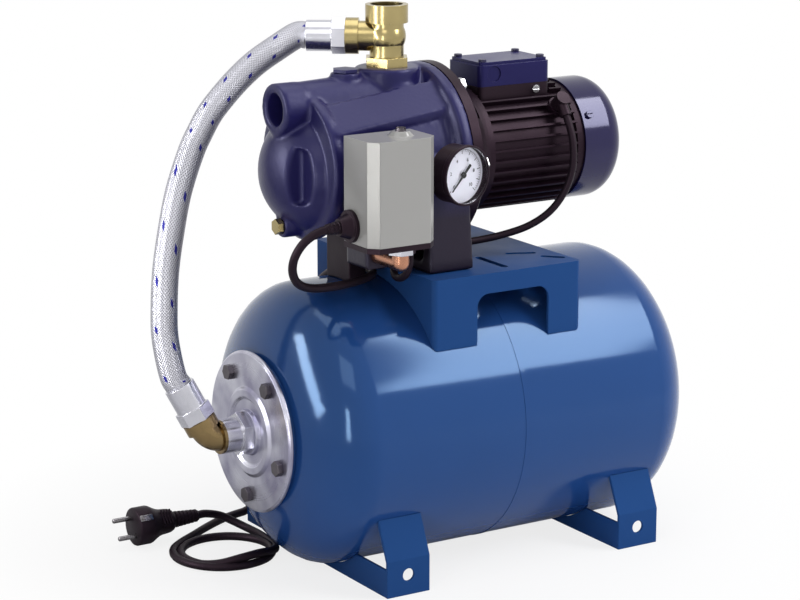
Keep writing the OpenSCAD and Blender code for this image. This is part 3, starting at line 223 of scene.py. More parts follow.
for i in range(loop_points):
    turn = turn_start + (turn_end - turn_start) * i / (loop_points - 1)
    inward = min((turn - turn_start) / 360, 1)
    outward = max((turn - turn_start - 360) / (turn_end - turn_start - 360), 0)
    radius = coil_wide - (coil_wide - coil_narrow) * (inward - outward**2)
    hump = hump_height * math.sin(math.pi * min(max((turn - hump_start) / hump_span, 0), 1)) ** 2
    angle = math.radians(turn)
    loops.append(at(coil_x + radius * math.cos(angle), coil_y + radius * math.sin(angle), lead_z + hump))
tail_route = [at(-170, 72, lead_z), at(-170, 88, lead_z), at(-173, 104, 5.5), at(-181, 115, 10)]
tail_route += [at(-192, 121, 16), at(-207, 122, 20), at(-216, 122, 20)]
mains_line = smooth_line(mains_route + loops + tail_route, 6)
for place in mains_line:
    place.z = max(place.z, lead_z / 1000)
mains_lead = tube("mains_cable", mains_line, mains_lead_r, 4)
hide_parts("mains_lead", "mains_coil")
print("mains lead", round(line_length(mains_line), 3), "m")

# %% [markdown]
# ## Rounded edges
# A moulded cover, a folded sheet or a machined nut never has a knife edge: its small radius catches the light
# as a thin line. The solids come with sharp edges, so four modifiers round them. Weld joins the loose
# triangles, Decimate dissolves the flat ones into whole faces, Bevel rounds every edge that is sharper than
# an angle, and Weighted Normal keeps the large faces flat.

# %% Rounded edges on the solids
edge_radius = {
    "switch_cover": 1.6,
    "switch_base": 0.8,
    "terminal_lid": 2.0,
    "terminal_box": 1.0,
    "pump_platform": 1.2,
    "foot_front": 0.8,
    "foot_rear": 0.8,
    "tank_flange": 0.9,
    "flange_bolts": 0.6,
    "tank_nipple": 0.5,
    "hose_fittings": 0.6,
    "discharge_tee": 0.9,
    "switch_nut": 0.5,
    "drain_plug": 0.6,
    "priming_plug": 0.6,
    "casing_bolts": 0.6,
    "casing_rest": 1.2,
    "platform_bolts": 0.6,
    "motor_bracket": 1.2,
    "motor_housing": 0.5,
    "gauge_case": 0.4,
    "terminal_screws": 0.4,
    "fan_cover_screws": 0.4,
    "motor_gland": 0.6,
    "switch_glands": 0.6,
}
join_reach = 0.00001
flat_angle, sharp_angle = math.radians(0.4), math.radians(38)
for node, radius in edge_radius.items():
    piece = nodes[node]
    weld = piece.modifiers.new("joined", "WELD")
    weld.merge_threshold = join_reach
    flat = piece.modifiers.new("whole_faces", "DECIMATE")
    flat.decimate_type = "DISSOLVE"
    flat.angle_limit = flat_angle
    bevel = piece.modifiers.new("soft_edges", "BEVEL")
    bevel.width = radius / 1000
    bevel.segments = 3
    bevel.limit_method = "ANGLE"
    bevel.angle_limit = sharp_angle
    shading = piece.modifiers.new("flat_faces", "WEIGHTED_NORMAL")
    shading.keep_sharp = True
print("rounded", len(edge_radius), "solids")

# %% [markdown]
# The tank's ends are pressed in one smooth bowl, but its solid is a stack of narrow cones, and a mirror finish
# would show every one of them. After a Weld, Edge Split parts the mesh only where it is really sharp, and
# Weighted Normal then shades across the cones as one curve.

# %% Smooth tank ends
shell = nodes["tank_shell"]
weld = shell.modifiers.new("joined", "WELD")
weld.merge_threshold = join_reach
split_edges = shell.modifiers.new("real_edges", "EDGE_SPLIT")
split_edges.split_angle = math.radians(35)
shell.modifiers.new("one_curve", "WEIGHTED_NORMAL")
print("smooth", shell.name, len(shell.data.polygons), "faces")

# %% [markdown]
# ## Casting
# The pump's casing is cast iron: wherever a duct, a boss or a rib meets the barrel, the mould left a fillet,
# and no edge is sharp. Modelling each fillet would take long. Instead a copy of the solid is rebuilt as a
# fine even skin with the Remesh modifier, and smoothing that skin rounds every edge and fills every corner
# by the same few millimetres, much as the sand mould does.

# %% Cast casing


def skin_of(node, name, voxel, rounds):
    bm = bmesh.new()
    bm.from_mesh(nodes[node].data)
    bmesh.ops.remove_doubles(bm, verts=bm.verts, dist=join_reach)
    mesh = bpy.data.meshes.new(name)
    bm.to_mesh(mesh)
    bm.free()
    piece = bpy.data.objects.new(name, mesh)
    bpy.context.collection.objects.link(piece)
    skin = piece.modifiers.new("skin", "REMESH")
    skin.mode = "VOXEL"
    skin.voxel_size = voxel
    skin.use_smooth_shade = True
    fillets = piece.modifiers.new("fillets", "SMOOTH")
    fillets.factor = 0.5
    fillets.iterations = rounds
    shape = final_mesh(piece)
    piece.modifiers.clear()
    piece.data = shape
    shape.name = name
    shape.materials.clear()
    bpy.data.meshes.remove(mesh)
    return piece


casting = skin_of("pump_casing", "casing_casting", voxel=0.0017, rounds=7)
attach(casting, "set")
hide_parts("pump_casing")
print("casting", len(casting.data.polygons), "faces")

# %% [markdown]
# ## Small pieces
# The next pieces are modelled from nothing with bmesh operators. All of them end in the same way: doubles are
# merged, the faces are turned outwards, only real edges stay sharp, and the piece is put on its body. A
# turned piece is half of its section, spun once round the X axis.

# %% Helpers for new pieces


def place_piece(bm, name, body):
    bmesh.ops.remove_doubles(bm, verts=bm.verts, dist=0.000005)
    bmesh.ops.recalc_face_normals(bm, faces=bm.faces)
    mesh = bpy.data.meshes.new(name)
    bm.to_mesh(mesh)
    bm.free()
    piece = bpy.data.objects.new(name, mesh)
    bpy.context.collection.objects.link(piece)
    mesh.shade_smooth()
    mesh.set_sharp_from_angle(angle=math.radians(35))
    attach(piece, body)
    return piece


def turned(profile, steps, closed):
    bm = bmesh.new()
    verts = [bm.verts.new((x / 1000, 0, r / 1000)) for x, r in profile]
    ends = verts[1:] + verts[:1] if closed else verts[1:]
    edges = [bm.edges.new(pair) for pair in zip(verts, ends)]
    bmesh.ops.spin(
        bm,
        geom=verts + edges,
        cent=(0, 0, 0),
        axis=(1, 0, 0),
        angle=math.tau,
        steps=steps,
        use_merge=True,
        use_duplicate=False,
    )
    return bm


# %% [markdown]
# Where the mains lead leaves its gland, a short tapered sleeve of rubber keeps it from kinking. It is a
# ringed profile, spun about the lead and then laid along the lead's first straight stretch.

# %% Strain relief
sleeve = [(0, 3.6), (0, 6.0), (3.0, 6.0), (3.5, 5.2), (4.6, 5.2), (5.1, 5.7), (6.9, 5.6), (7.4, 4.9), (8.5, 4.9)]
sleeve += [(9.0, 5.4), (10.8, 5.2), (11.3, 4.7), (12.4, 4.7), (12.8, 5.0), (14.2, 4.8), (14.6, 4.4), (14.6, 3.6)]
sleeve_in_gland = 0.002
bm = turned(sleeve, 40, closed=True)
lead_dir = (mains_route[1] - mains_out).normalized()
sleeve_turn = lead_dir.to_track_quat("X", "Z").to_matrix().to_4x4()
sleeve_place = Matrix.Translation(mains_out - lead_dir * sleeve_in_gland) @ sleeve_turn
bmesh.ops.transform(bm, matrix=sleeve_place, verts=bm.verts)
strain_relief = place_piece(bm, "strain_relief", "set")
print("strain relief", len(strain_relief.data.polygons), "faces")

# %% [markdown]
# The switch cover is held by one slotted screw on a low dome. Its head is a short cone on a disc. The slot is
# made by cutting one half of the cone away, closing the cut, and mirroring what is left to the other side.

# %% Slotted screw
head_r, disc_h, cone_h, slot_half = 0.005, 0.0012, 0.0018, 0.0007
bm = bmesh.new()
bmesh.ops.create_cone(
    bm, cap_ends=True, segments=40, radius1=head_r * 0.92, radius2=head_r * 0.86, depth=cone_h
)
half = bm.verts[:] + bm.edges[:] + bm.faces[:]
bmesh.ops.bisect_plane(bm, geom=half, plane_co=(slot_half, 0, 0), plane_no=(1, 0, 0), clear_inner=True)
bmesh.ops.holes_fill(bm, edges=[e for e in bm.edges if e.is_boundary])
half = bm.verts[:] + bm.edges[:] + bm.faces[:]
bmesh.ops.mirror(bm, geom=half, matrix=Matrix(), merge_dist=0, axis="X")
bmesh.ops.translate(bm, vec=(0, 0, disc_h + cone_h / 2), verts=bm.verts)
disc = bmesh.ops.create_cone(
    bm, cap_ends=True, segments=40, radius1=head_r, radius2=head_r * 0.95, depth=disc_h
)
bmesh.ops.translate(bm, vec=(0, 0, disc_h / 2), verts=disc["verts"])
bmesh.ops.rotate(bm, matrix=Matrix.Rotation(math.radians(25), 3, "Z"), verts=bm.verts)
screw_at = middle("cover_screw")
screw_at.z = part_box("cover_screw")[1][2] - disc_h - cone_h
bmesh.ops.translate(bm, vec=screw_at, verts=bm.verts)
cover_screw = place_piece(bm, "slotted_screw", "set")
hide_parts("cover_screw")
print("screw at", [round(v, 4) for v in screw_at])

# %% [markdown]
# ## Gauge figures
# The dial's ticks belong to its finish, but its figures are real: each is a text object, made a thin mesh
# before it is placed, so that its place ends up in the mesh. The gauge is turned a little, and the figures
# stand on an arc from the lower left to the lower right, a full turn less a quarter.

# %% Dial figures
gauge_turn, scale_start = math.radians(11), math.radians(135)
figure_size, figure_thick, figure_ring, figure_lift = 0.0046, 0.00006, 0.56, 0.0011
figure_count = 6
dial_at = middle("gauge_dial")
dial_low, dial_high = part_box("gauge_dial")
dial_r = (dial_high[2] - dial_low[2]) / 2
dial_front = Matrix.Rotation(gauge_turn, 4, "Z") @ Matrix.Rotation(math.radians(90), 4, "X")
bm = bmesh.new()
for step in range(figure_count):
    turn = scale_start * (2 * step / (figure_count - 1) - 1)
    text = bpy.data.curves.new("figure", "FONT")
    text.body = str(2 * step)
    text.size = figure_size
    text.align_x, text.align_y = "CENTER", "CENTER"
    text.extrude = figure_thick
    helper = bpy.data.objects.new("figure", text)
    bpy.context.collection.objects.link(helper)
    mesh = final_mesh(helper)
    bpy.data.objects.remove(helper)
    ring = dial_r * figure_ring
    place = Matrix.Translation((math.sin(turn) * ring, math.cos(turn) * ring, figure_lift))
    mesh.transform(Matrix.Translation(dial_at) @ dial_front @ place)
    bm.from_mesh(mesh)
    bpy.data.meshes.remove(mesh)
figures = place_piece(bm, "dial_figures", "set")
print("dial radius", round(dial_r, 4), "figures", len(figures.data.polygons), "faces")

# %% [markdown]
# ## Plug
# The plug is a round moulded one. Its body is a profile spun about its axis: a thick head, a waist to grip,
# and a ribbed boot that lets the lead bend gently. Short bars on both sides of the waist help the fingers.

# %% Plug body


def rounded_box(bm, size, place, radius):
    block = bmesh.ops.create_cube(bm, size=1)["verts"]
    bmesh.ops.scale(bm, vec=size, verts=block)
    bmesh.ops.translate(bm, vec=place, verts=block)
    edges = [e for e in bm.edges if e.verts[0] in block and e.verts[1] in block]
    bmesh.ops.bevel(bm, geom=edges, offset=radius, affect="EDGES", segments=2, profile=0.5, material=-1)


plug_low, plug_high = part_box("mains_plug")
plug_axis_y, plug_axis_z, plug_roll = 0.122, 0.020, math.radians(-40)
pin_len = 0.019
plug_face = plug_low[0] + pin_len
plug_len = plug_high[0] - plug_face
profile = [(0, 0), (0, 17.2), (0.5, 18.2), (1.6, 18.8), (14.5, 18.8), (16.5, 18.2), (21, 15.6), (25, 13.6)]
profile += [(29, 12.6), (34, 12.2), (38, 11.6), (41, 10.2), (42.5, 8.4)]
for rib in range(6):
    start, thick = 43.5 + 4.2 * rib, 8.0 - 0.34 * rib
    profile += [(start, thick - 1.1), (start + 1.0, thick - 1.1), (start + 1.5, thick), (start + 3.6, thick)]
profile += [(68.6, 5.6), (plug_len * 1000, 5.0), (plug_len * 1000, 0)]
bm = turned(profile, 48, closed=False)
bar_size, bar_start, bar_gap, bar_out, bar_taper = (0.0018, 0.0016, 0.0150), 0.0275, 0.0031, 0.0128, 0.0003
for side in (-1, 1):
    for bar in range(4):
        bar_at = (bar_start + bar_gap * bar, side * (bar_out - bar_taper * bar), 0)
        rounded_box(bm, bar_size, bar_at, 0.0005)
plug_place = Matrix.Translation((plug_face, plug_axis_y, plug_axis_z)) @ Matrix.Rotation(plug_roll, 4, "X")
bmesh.ops.transform(bm, matrix=plug_place, verts=bm.verts)
plug = place_piece(bm, "plug_body", "set")
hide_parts("mains_plug")
print("plug", round(plug_len, 3), "m long,", len(plug.data.polygons), "faces")

# %% [markdown]
# Two round pins with soft tips stick out of the plug's face, and two earth strips lie in its side, across
# from each other. They are one metal piece.

# %% Plug contacts
pin_r, pin_apart, pin_root, tip_r = 0.0024, 0.0095, 0.002, 0.0014
strip_size, strip_x, strip_out = (0.0135, 0.0012, 0.0062), 0.0078, 0.0186
bm = bmesh.new()
for side in (-1, 1):
    pin = bmesh.ops.create_cone(
        bm, cap_ends=True, segments=24, radius1=pin_r, radius2=pin_r, depth=pin_len + pin_root
    )["verts"]
    bmesh.ops.rotate(bm, matrix=Matrix.Rotation(math.radians(-90), 3, "Y"), verts=pin)
    bmesh.ops.translate(bm, vec=((pin_root - pin_len) / 2, 0, side * pin_apart), verts=pin)
    tip = [v for v in pin if v.co.x < -pin_len / 2]
    rim = [e for e in bm.edges if e.verts[0] in tip and e.verts[1] in tip]
    bmesh.ops.bevel(bm, geom=rim, offset=tip_r, affect="EDGES", segments=4, profile=0.5, material=-1)
    rounded_box(bm, strip_size, (strip_x, side * strip_out, 0), 0.0004)
bmesh.ops.transform(bm, matrix=plug_place, verts=bm.verts)
contacts = place_piece(bm, "plug_contacts", "set")
print("contacts", len(contacts.data.polygons), "faces")

# %% [markdown]
# ## Finishes
# Materials are node trees, and a few helpers keep them short to write: each makes one node, sets or links what
# goes into it, and gives back the socket that comes out.

# %% Node helpers


def feed(tree, socket, value):
    if isinstance(value, (int, float, tuple)):
        socket.default_value = value
    else:
        tree.links.new(value, socket)


def object_place(tree):
    return tree.nodes.new("ShaderNodeTexCoord").outputs["Object"]


def parts_of(tree, vector):
    node = tree.nodes.new("ShaderNodeSeparateXYZ")
    tree.links.new(vector, node.inputs["Vector"])
    return node.outputs["X"], node.outputs["Y"], node.outputs["Z"]


def math_node(tree, operation, *values):
    node = tree.nodes.new("ShaderNodeMath")
    node.operation = operation
    for socket, value in zip(node.inputs, values):
        feed(tree, socket, value)
    return node.outputs[0]


def radius_of(tree, first, second):
    squares = [math_node(tree, "POWER", value, 2.0) for value in (first, second)]
    return math_node(tree, "SQRT", math_node(tree, "ADD", *squares))


def spread(tree, value, low, high, start=0.0, end=1.0):
    node = tree.nodes.new("ShaderNodeMapRange")
    amounts = {"Value": value, "From Min": start, "From Max": end, "To Min": low, "To Max": high}
    for label, amount in amounts.items():
        feed(tree, node.inputs[label], amount)
    return node.outputs["Result"]


def noise(tree, place, scale, detail=3.0):
    node = tree.nodes.new("ShaderNodeTexNoise")
    node.inputs["Detail"].default_value = detail
    feed(tree, node.inputs["Scale"], scale)
    tree.links.new(place, node.inputs["Vector"])
    return node.outputs["Fac"]


def shade(tree, colour, factor):
    node = tree.nodes.new("ShaderNodeHueSaturation")
    tree.links.new(colour, node.inputs["Color"])
    tree.links.new(factor, node.inputs["Value"])
    return node.outputs["Color"]


def blend_colour(tree, mask, first, second):
    node = tree.nodes.new("ShaderNodeMix")
    node.data_type = "RGBA"
    feed(tree, node.inputs["Factor"], mask)
    # The Mix node keeps its colours in its inputs 6 and 7 and its output 2.
    feed(tree, node.inputs[6], first)
    feed(tree, node.inputs[7], second)
    return node.outputs[2]


# %% [markdown]
# Surfaces that share an effect share a node group. The first group breaks a paint's colour up with a very
# faint cloud, gives its gloss small differences, as sprayed paint has, and puts out a fine grain as a height.

# %% Paint group


def new_group(name, inputs):
    group = bpy.data.node_groups.new(name, "ShaderNodeTree")
    for label, kind, value in inputs:
        socket = group.interface.new_socket(label, in_out="INPUT", socket_type=kind)
        socket.default_value = value
    for label, kind in (("Color", "Color"), ("Roughness", "Float"), ("Height", "Float")):
        group.interface.new_socket(label, in_out="OUTPUT", socket_type="NodeSocket" + kind)
    return group, group.nodes.new("NodeGroupInput").outputs, group.nodes.new("NodeGroupOutput").inputs


def around_one(tree, value, amount):
    low, high = math_node(tree, "SUBTRACT", 1.0, amount), math_node(tree, "ADD", 1.0, amount)
    return spread(tree, value, low, high)


paint_cloud, given, result = new_group(
    "paint_cloud",
    [
        ("Color", "NodeSocketColor", (0.2, 0.3, 0.5, 1)),
        ("Gloss", "NodeSocketFloat", 0.3),
        ("Cloud", "NodeSocketFloat", 0.06),
        ("Grain", "NodeSocketFloat", 420.0),
    ],
)
coords = object_place(paint_cloud)
value = around_one(paint_cloud, noise(paint_cloud, coords, 9.0), given["Cloud"])
paint_cloud.links.new(shade(paint_cloud, given["Color"], value), result["Color"])
uneven = spread(paint_cloud, noise(paint_cloud, coords, 26.0), 0.75, 1.25)
paint_cloud.links.new(math_node(paint_cloud, "MULTIPLY", given["Gloss"], uneven), result["Roughness"])
paint_cloud.links.new(noise(paint_cloud, coords, given["Grain"], 1.0), result["Height"])
print("group", paint_cloud.name, len(paint_cloud.nodes), "nodes")

# %% [markdown]
# The second group is for worked metal. It draws fine lines, which a stretch of the coordinates can make long in
# one direction, and faint stains.

# %% Metal group
worked_metal, given, result = new_group(
    "worked_metal",
    [
        ("Color", "NodeSocketColor", (0.7, 0.7, 0.7, 1)),
        ("Stretch", "NodeSocketVector", (1, 1, 1)),
        ("Gloss", "NodeSocketFloat", 0.3),
        ("Stain", "NodeSocketFloat", 0.14),
    ],
)
coords = object_place(worked_metal)
stretch = worked_metal.nodes.new("ShaderNodeVectorMath")
stretch.operation = "MULTIPLY"
worked_metal.links.new(coords, stretch.inputs[0])
worked_metal.links.new(given["Stretch"], stretch.inputs[1])
lines = noise(worked_metal, stretch.outputs[0], 350.0, 2.0)
value = around_one(worked_metal, noise(worked_metal, coords, 45.0), given["Stain"])
worked_metal.links.new(shade(worked_metal, given["Color"], value), result["Color"])
uneven = spread(worked_metal, lines, 0.7, 1.3)
worked_metal.links.new(math_node(worked_metal, "MULTIPLY", given["Gloss"], uneven), result["Roughness"])
worked_metal.links.new(lines, result["Height"])
print("group", worked_metal.name, len(worked_metal.nodes), "nodes")

# %% [markdown]
# Each material puts one group in front of a Principled BSDF. What is the same all over, such as the tint of a
# paint's sheen, is set on the shader's own sockets.

# %% Helpers for materials
finishes = {}


def new_material(name):
    material = bpy.data.materials.new(name + "_finish")
    material.use_nodes = True
    finishes[name] = material
    return material.node_tree, material.node_tree.nodes["Principled BSDF"]


def relief(tree, shader, height, strength, distance):
    bump = tree.nodes.new("ShaderNodeBump")
    bump.inputs["Strength"].default_value = strength
    bump.inputs["Distance"].default_value = distance
    tree.links.new(height, bump.inputs["Height"])
    tree.links.new(bump.outputs["Normal"], shader.inputs["Normal"])


def finish_with(group, name, strength, distance, **values):
    tree, shader = new_material(name)
    effect = tree.nodes.new("ShaderNodeGroup")
    effect.node_tree = group
    for label, amount in values.items():
        effect.inputs[label].default_value = amount
    tree.links.new(effect.outputs["Color"], shader.inputs["Base Color"])
    tree.links.new(effect.outputs["Roughness"], shader.inputs["Roughness"])
    relief(tree, shader, effect.outputs["Height"], strength, distance)
    return tree, shader, effect


def sheen(shader, tint, level=0.5):
    shader.inputs["Specular Tint"].default_value = (*tint, 1)
    shader.inputs["Specular IOR Level"].default_value = level


def dress(piece, name):
    if not piece.material_slots:
        piece.data.materials.append(finishes[name])
    for place in piece.material_slots:
        place.material = finishes[name]


# %% [markdown]
# A dark paint or plastic under white light looks grey, because it mirrors the light. A tinted sheen keeps the
# tank blue, the pump's covers navy and the black parts warm.

# %% Paints and plastics


def paint(name, colour, gloss, cloud, strength, grain=420.0):
    values = {"Color": (*colour, 1), "Gloss": gloss, "Cloud": cloud, "Grain": grain}
    return finish_with(paint_cloud, name, strength, 0.0004, **values)[1]


warm = (0.9, 0.6, 0.8)
sheen(paint("blue_enamel", (0.015, 0.060, 0.222), 0.11, 0.05, 0.02, 160.0), (0.40, 0.65, 1.0))
sheen(paint("blue_sheet", (0.017, 0.066, 0.222), 0.46, 0.05, 0.05, 260.0), (0.35, 0.60, 1.0), 0.1)
sheen(paint("navy_sheet", (0.011, 0.008, 0.050), 0.12, 0.06, 0.03), (0.7, 0.7, 1.0))
sheen(paint("navy_cover", (0.013, 0.011, 0.070), 0.34, 0.06, 0.05), (0.45, 0.45, 1.0), 0.3)
sheen(paint("black_cast", (0.009, 0.004, 0.008), 0.42, 0.15, 0.2, 260.0), warm, 0.2)
sheen(paint("black_plastic", (0.009, 0.005, 0.008), 0.42, 0.1, 0.15), warm, 0.25)
sheen(paint("black_rubber", (0.009, 0.006, 0.009), 0.48, 0.12, 0.1), warm, 0.2)
paint("grey_plastic", (0.37, 0.366, 0.355), 0.14, 0.03, 0.02)
paint("white_plastic", (0.80, 0.79, 0.86), 0.4, 0.03, 0.05)
paint("needle_black", (0.008, 0.008, 0.008), 0.5, 0.05, 0.05)
print("paints", len(finishes))

# %% [markdown]
# The metals differ in colour, gloss and stain. The gauge's lens is clear, with a roughness that varies a little
# as if it had been wiped.

# %% Metals and lens


def metal(name, colour, gloss, stretch=(1, 1, 1), stain=0.14, strength=0.1):
    values = {"Color": (*colour, 1), "Gloss": gloss, "Stretch": stretch, "Stain": stain}
    shader = finish_with(worked_metal, name, strength, 0.0002, **values)[1]
    shader.inputs["Metallic"].default_value = 1.0


metal("zinc_steel", (0.55, 0.55, 0.60), 0.22, (0.2, 1, 1), strength=0.05)
metal("bright_steel", (0.50, 0.50, 0.52), 0.26, strength=0.05)
metal("brass", (0.37, 0.30, 0.14), 0.24, (1, 1, 0.2), stain=0.3, strength=0.05)
metal("aged_brass", (0.24, 0.17, 0.08), 0.22, stain=0.3, strength=0.05)
metal("dark_bolt", (0.10, 0.09, 0.10), 0.35, stain=0.3)
metal("pin_metal", (0.22, 0.21, 0.22), 0.25)
metal("copper", (0.45, 0.22, 0.14), 0.28)
metal("winding", (0.50, 0.26, 0.14), 0.4)

tree, shader = new_material("clear_lens")
shader.inputs["Base Color"].default_value = (0.97, 0.98, 1, 1)
shader.inputs["Transmission Weight"].default_value = 1.0
shader.inputs["IOR"].default_value = 1.1
wiped = noise(tree, object_place(tree), 60.0)
tree.links.new(spread(tree, wiped, 0.01, 0.06), shader.inputs["Roughness"])
print("paints, metals and lens", len(finishes))

# %% [markdown]
# Most solids take the finish that their slot in the record names. A few look different from the rest of their
# slot, such as the dark bolts of the flange, and the new pieces are dressed one by one.

# %% Dressing
for part in frame["record"]["subparts"]:
    if part["material_slot"] in finishes:
        dress(nodes[part["node"]], part["material_slot"])
for piece, name in (
    (nodes["flange_bolts"], "dark_bolt"),
    (nodes["tank_elbow"], "aged_brass"),
    (nodes["pump_platform"], "blue_sheet"),
    (nodes["foot_front"], "blue_sheet"),
    (nodes["foot_rear"], "blue_sheet"),
    (nodes["terminal_lid"], "navy_cover"),
    (nodes["fan_cover_screws"], "navy_sheet"),
    (motor_lead, "black_rubber"),
    (mains_lead, "black_rubber"),
    (strain_relief, "black_rubber"),
    (cover_screw, "dark_bolt"),
    (figures, "needle_black"),
    (plug, "black_rubber"),
    (contacts, "pin_metal"),
):
    dress(piece, name)
print("dressed with", len(finishes), "finishes")

# %% [markdown]
# The casing is painted navy over its rough cast skin, and painted shade darkens its foot and the low part of the
# barrel to near black. A mask on height, kept behind the nose, blends the navy into this painted shade where the
# foot meets the barrel.

# %% Cast paint
# painted shade: the near black stands for the shadow on the casing's foot and the barrel's underside
navy, painted_shade_black = (0.013, 0.011, 0.078, 1), (0.010, 0.005, 0.010, 1)
foot_low, foot_high, nose_end, nose_back = 0.335, 0.372, at(-152, 0, 0).x, at(-138, 0, 0).x
tree, shader, effect = finish_with(paint_cloud, "navy_cast", 0.3, 0.0004, Gloss=0.36, Cloud=0.14, Grain=260.0)
sheen(shader, (0.7, 0.7, 1.0), 0.4)
place_x, _, place_z = parts_of(tree, object_place(tree))
shade_by_height = spread(tree, place_z, 1.0, 0.0, foot_low, foot_high)
behind_nose = spread(tree, place_x, 0.0, 1.0, nose_end, nose_back)
# where the painted shade darkens the casing: low down and behind the nose
painted_shade_mask = math_node(tree, "MULTIPLY", shade_by_height, behind_nose)
tree.links.new(blend_colour(tree, painted_shade_mask, navy, painted_shade_black), effect.inputs["Color"])
dress(casting, "navy_cast")
dress(nodes["priming_plug"], "navy_cast")
print("casing", casting.material_slots[0].material.name)

# %% [markdown]
# The four screws of the terminal lid were painted over with it, but the earth screw on the side of the box is
# left bright. One material serves both: a mask on height switches from bare metal to paint at the lid.

# %% Box screws
tree, shader = new_material("box_screws")
coords = object_place(tree)
lid_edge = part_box("terminal_lid")[0][2] + 0.004
painted = math_node(tree, "GREATER_THAN", parts_of(tree, coords)[2], lid_edge)
worn = spread(tree, noise(tree, coords, 300.0), 0.85, 1.1)
bare = shade(tree, blend_colour(tree, worn, (0.45, 0.45, 0.47, 1), (0.62, 0.62, 0.64, 1)), worn)
lid_navy = (0.012, 0.009, 0.055, 1)
tree.links.new(blend_colour(tree, painted, bare, lid_navy), shader.inputs["Base Color"])
tree.links.new(math_node(tree, "SUBTRACT", 1.0, painted), shader.inputs["Metallic"])
tree.links.new(spread(tree, painted, 0.25, 0.36), shader.inputs["Roughness"])
dress(nodes["terminal_screws"], "box_screws")
print("box screws", nodes["terminal_screws"].material_slots[0].material.name)

# %% [markdown]
# The flange is pressed from zinc plated sheet. Turning marks run round its middle, and the plating shows soft
# bluish clouds. The marks are noise on the distance from the tank's axis, so they come out as rings.

# %% Plated flange
tree, shader = new_material("flange_zinc")
shader.inputs["Metallic"].default_value = 1.0
coords = object_place(tree)
_, place_y, place_z = parts_of(tree, coords)
off_axis = radius_of(tree, place_y, math_node(tree, "SUBTRACT", place_z, tank_z / 1000))
ring = tree.nodes.new("ShaderNodeCombineXYZ")
tree.links.new(off_axis, ring.inputs["X"])
marks = noise(tree, ring.outputs["Vector"], 900.0, 1.0)
cloud = spread(tree, noise(tree, coords, 28.0, 2.0), 0.0, 1.0, 0.35, 0.65)
bluish, bright = (0.28, 0.27, 0.37, 1), (0.58, 0.58, 0.65, 1)
tree.links.new(blend_colour(tree, cloud, bluish, bright), shader.inputs["Base Color"])
tree.links.new(spread(tree, marks, 0.22, 0.36), shader.inputs["Roughness"])
relief(tree, shader, marks, 0.06, 0.0003)
dress(nodes["tank_flange"], "flange_zinc")
print("flange", nodes["tank_flange"].material_slots[0].material.name)

# %% [markdown]
# The dial's ticks are drawn by its material, from the place on the dial: a Mapping node puts the middle of the
# dial at zero and turns the pattern with the gauge. The angle from the top decides where a tick stands, and
# the distance from the middle decides how long it is.

# %% Dial ticks
tree, shader = new_material("dial_face")
coords = object_place(tree)
centred = tree.nodes.new("ShaderNodeMapping")
centred.vector_type = "TEXTURE"
centred.inputs["Location"].default_value = dial_at
centred.inputs["Rotation"].default_value = (0, 0, gauge_turn)
tree.links.new(coords, centred.inputs["Vector"])
across, _, upward = parts_of(tree, centred.outputs["Vector"])
turn = math_node(tree, "ARCTAN2", across, upward)
reach = radius_of(tree, across, upward)
tick_out, scale_end = dial_r * 0.90, scale_start + 0.012
from_start = math_node(tree, "ADD", turn, scale_start)
on_scale = math_node(tree, "LESS_THAN", math_node(tree, "ABSOLUTE", turn), scale_end)


def ticks(step, half_width, inner):
    apart = math_node(tree, "PINGPONG", from_start, step / 2)
    near = math_node(tree, "LESS_THAN", math_node(tree, "MULTIPLY", apart, reach), half_width)
    long = math_node(tree, "GREATER_THAN", reach, inner)
    short = math_node(tree, "LESS_THAN", reach, tick_out)
    return math_node(tree, "MULTIPLY", near, math_node(tree, "MULTIPLY", long, short))


major = ticks(math.radians(27), 0.00038, dial_r * 0.74)
minor = ticks(math.radians(5.4), 0.00016, dial_r * 0.82)
off_arc = math_node(tree, "ABSOLUTE", math_node(tree, "SUBTRACT", reach, tick_out))
arc = math_node(tree, "LESS_THAN", off_arc, 0.00018)
drawn = math_node(tree, "MAXIMUM", arc, math_node(tree, "MAXIMUM", major, minor))
mask = math_node(tree, "MULTIPLY", drawn, on_scale)
paper = spread(tree, noise(tree, coords, 90.0), 0.0, 0.25)
white_tone = blend_colour(tree, paper, (0.82, 0.81, 0.88, 1), (0.74, 0.73, 0.80, 1))
ink = (0.012, 0.012, 0.014, 1)
tree.links.new(blend_colour(tree, mask, white_tone, ink), shader.inputs["Base Color"])
tree.links.new(spread(tree, mask, 0.42, 0.55), shader.inputs["Roughness"])
dress(nodes["gauge_dial"], "dial_face")
print("dial scale reaches", round(math.degrees(scale_start)), "degrees to each side")

# %% [markdown]
# The hose's braid is two sets of fine strands that wind round it in opposite ways. The tube's UV map runs
# round and along it, so two waves on slanted UV lines make the diamonds. Blue tracer threads come up as
# short dashes at even steps along the hose.

# %% Braid
tree, shader = new_material("steel_braid")
shader.inputs["Metallic"].default_value = 0.8
along, around, _ = parts_of(tree, tree.nodes.new("ShaderNodeUVMap").outputs["UV"])


def wave(along_count, around_count):
    lengthwise = math_node(tree, "MULTIPLY", along, along_count)
    crosswise = math_node(tree, "MULTIPLY", around, around_count)
    total = math_node(tree, "ADD", lengthwise, crosswise)
    return math_node(tree, "MULTIPLY", math_node(tree, "PINGPONG", total, 0.5), 2.0)


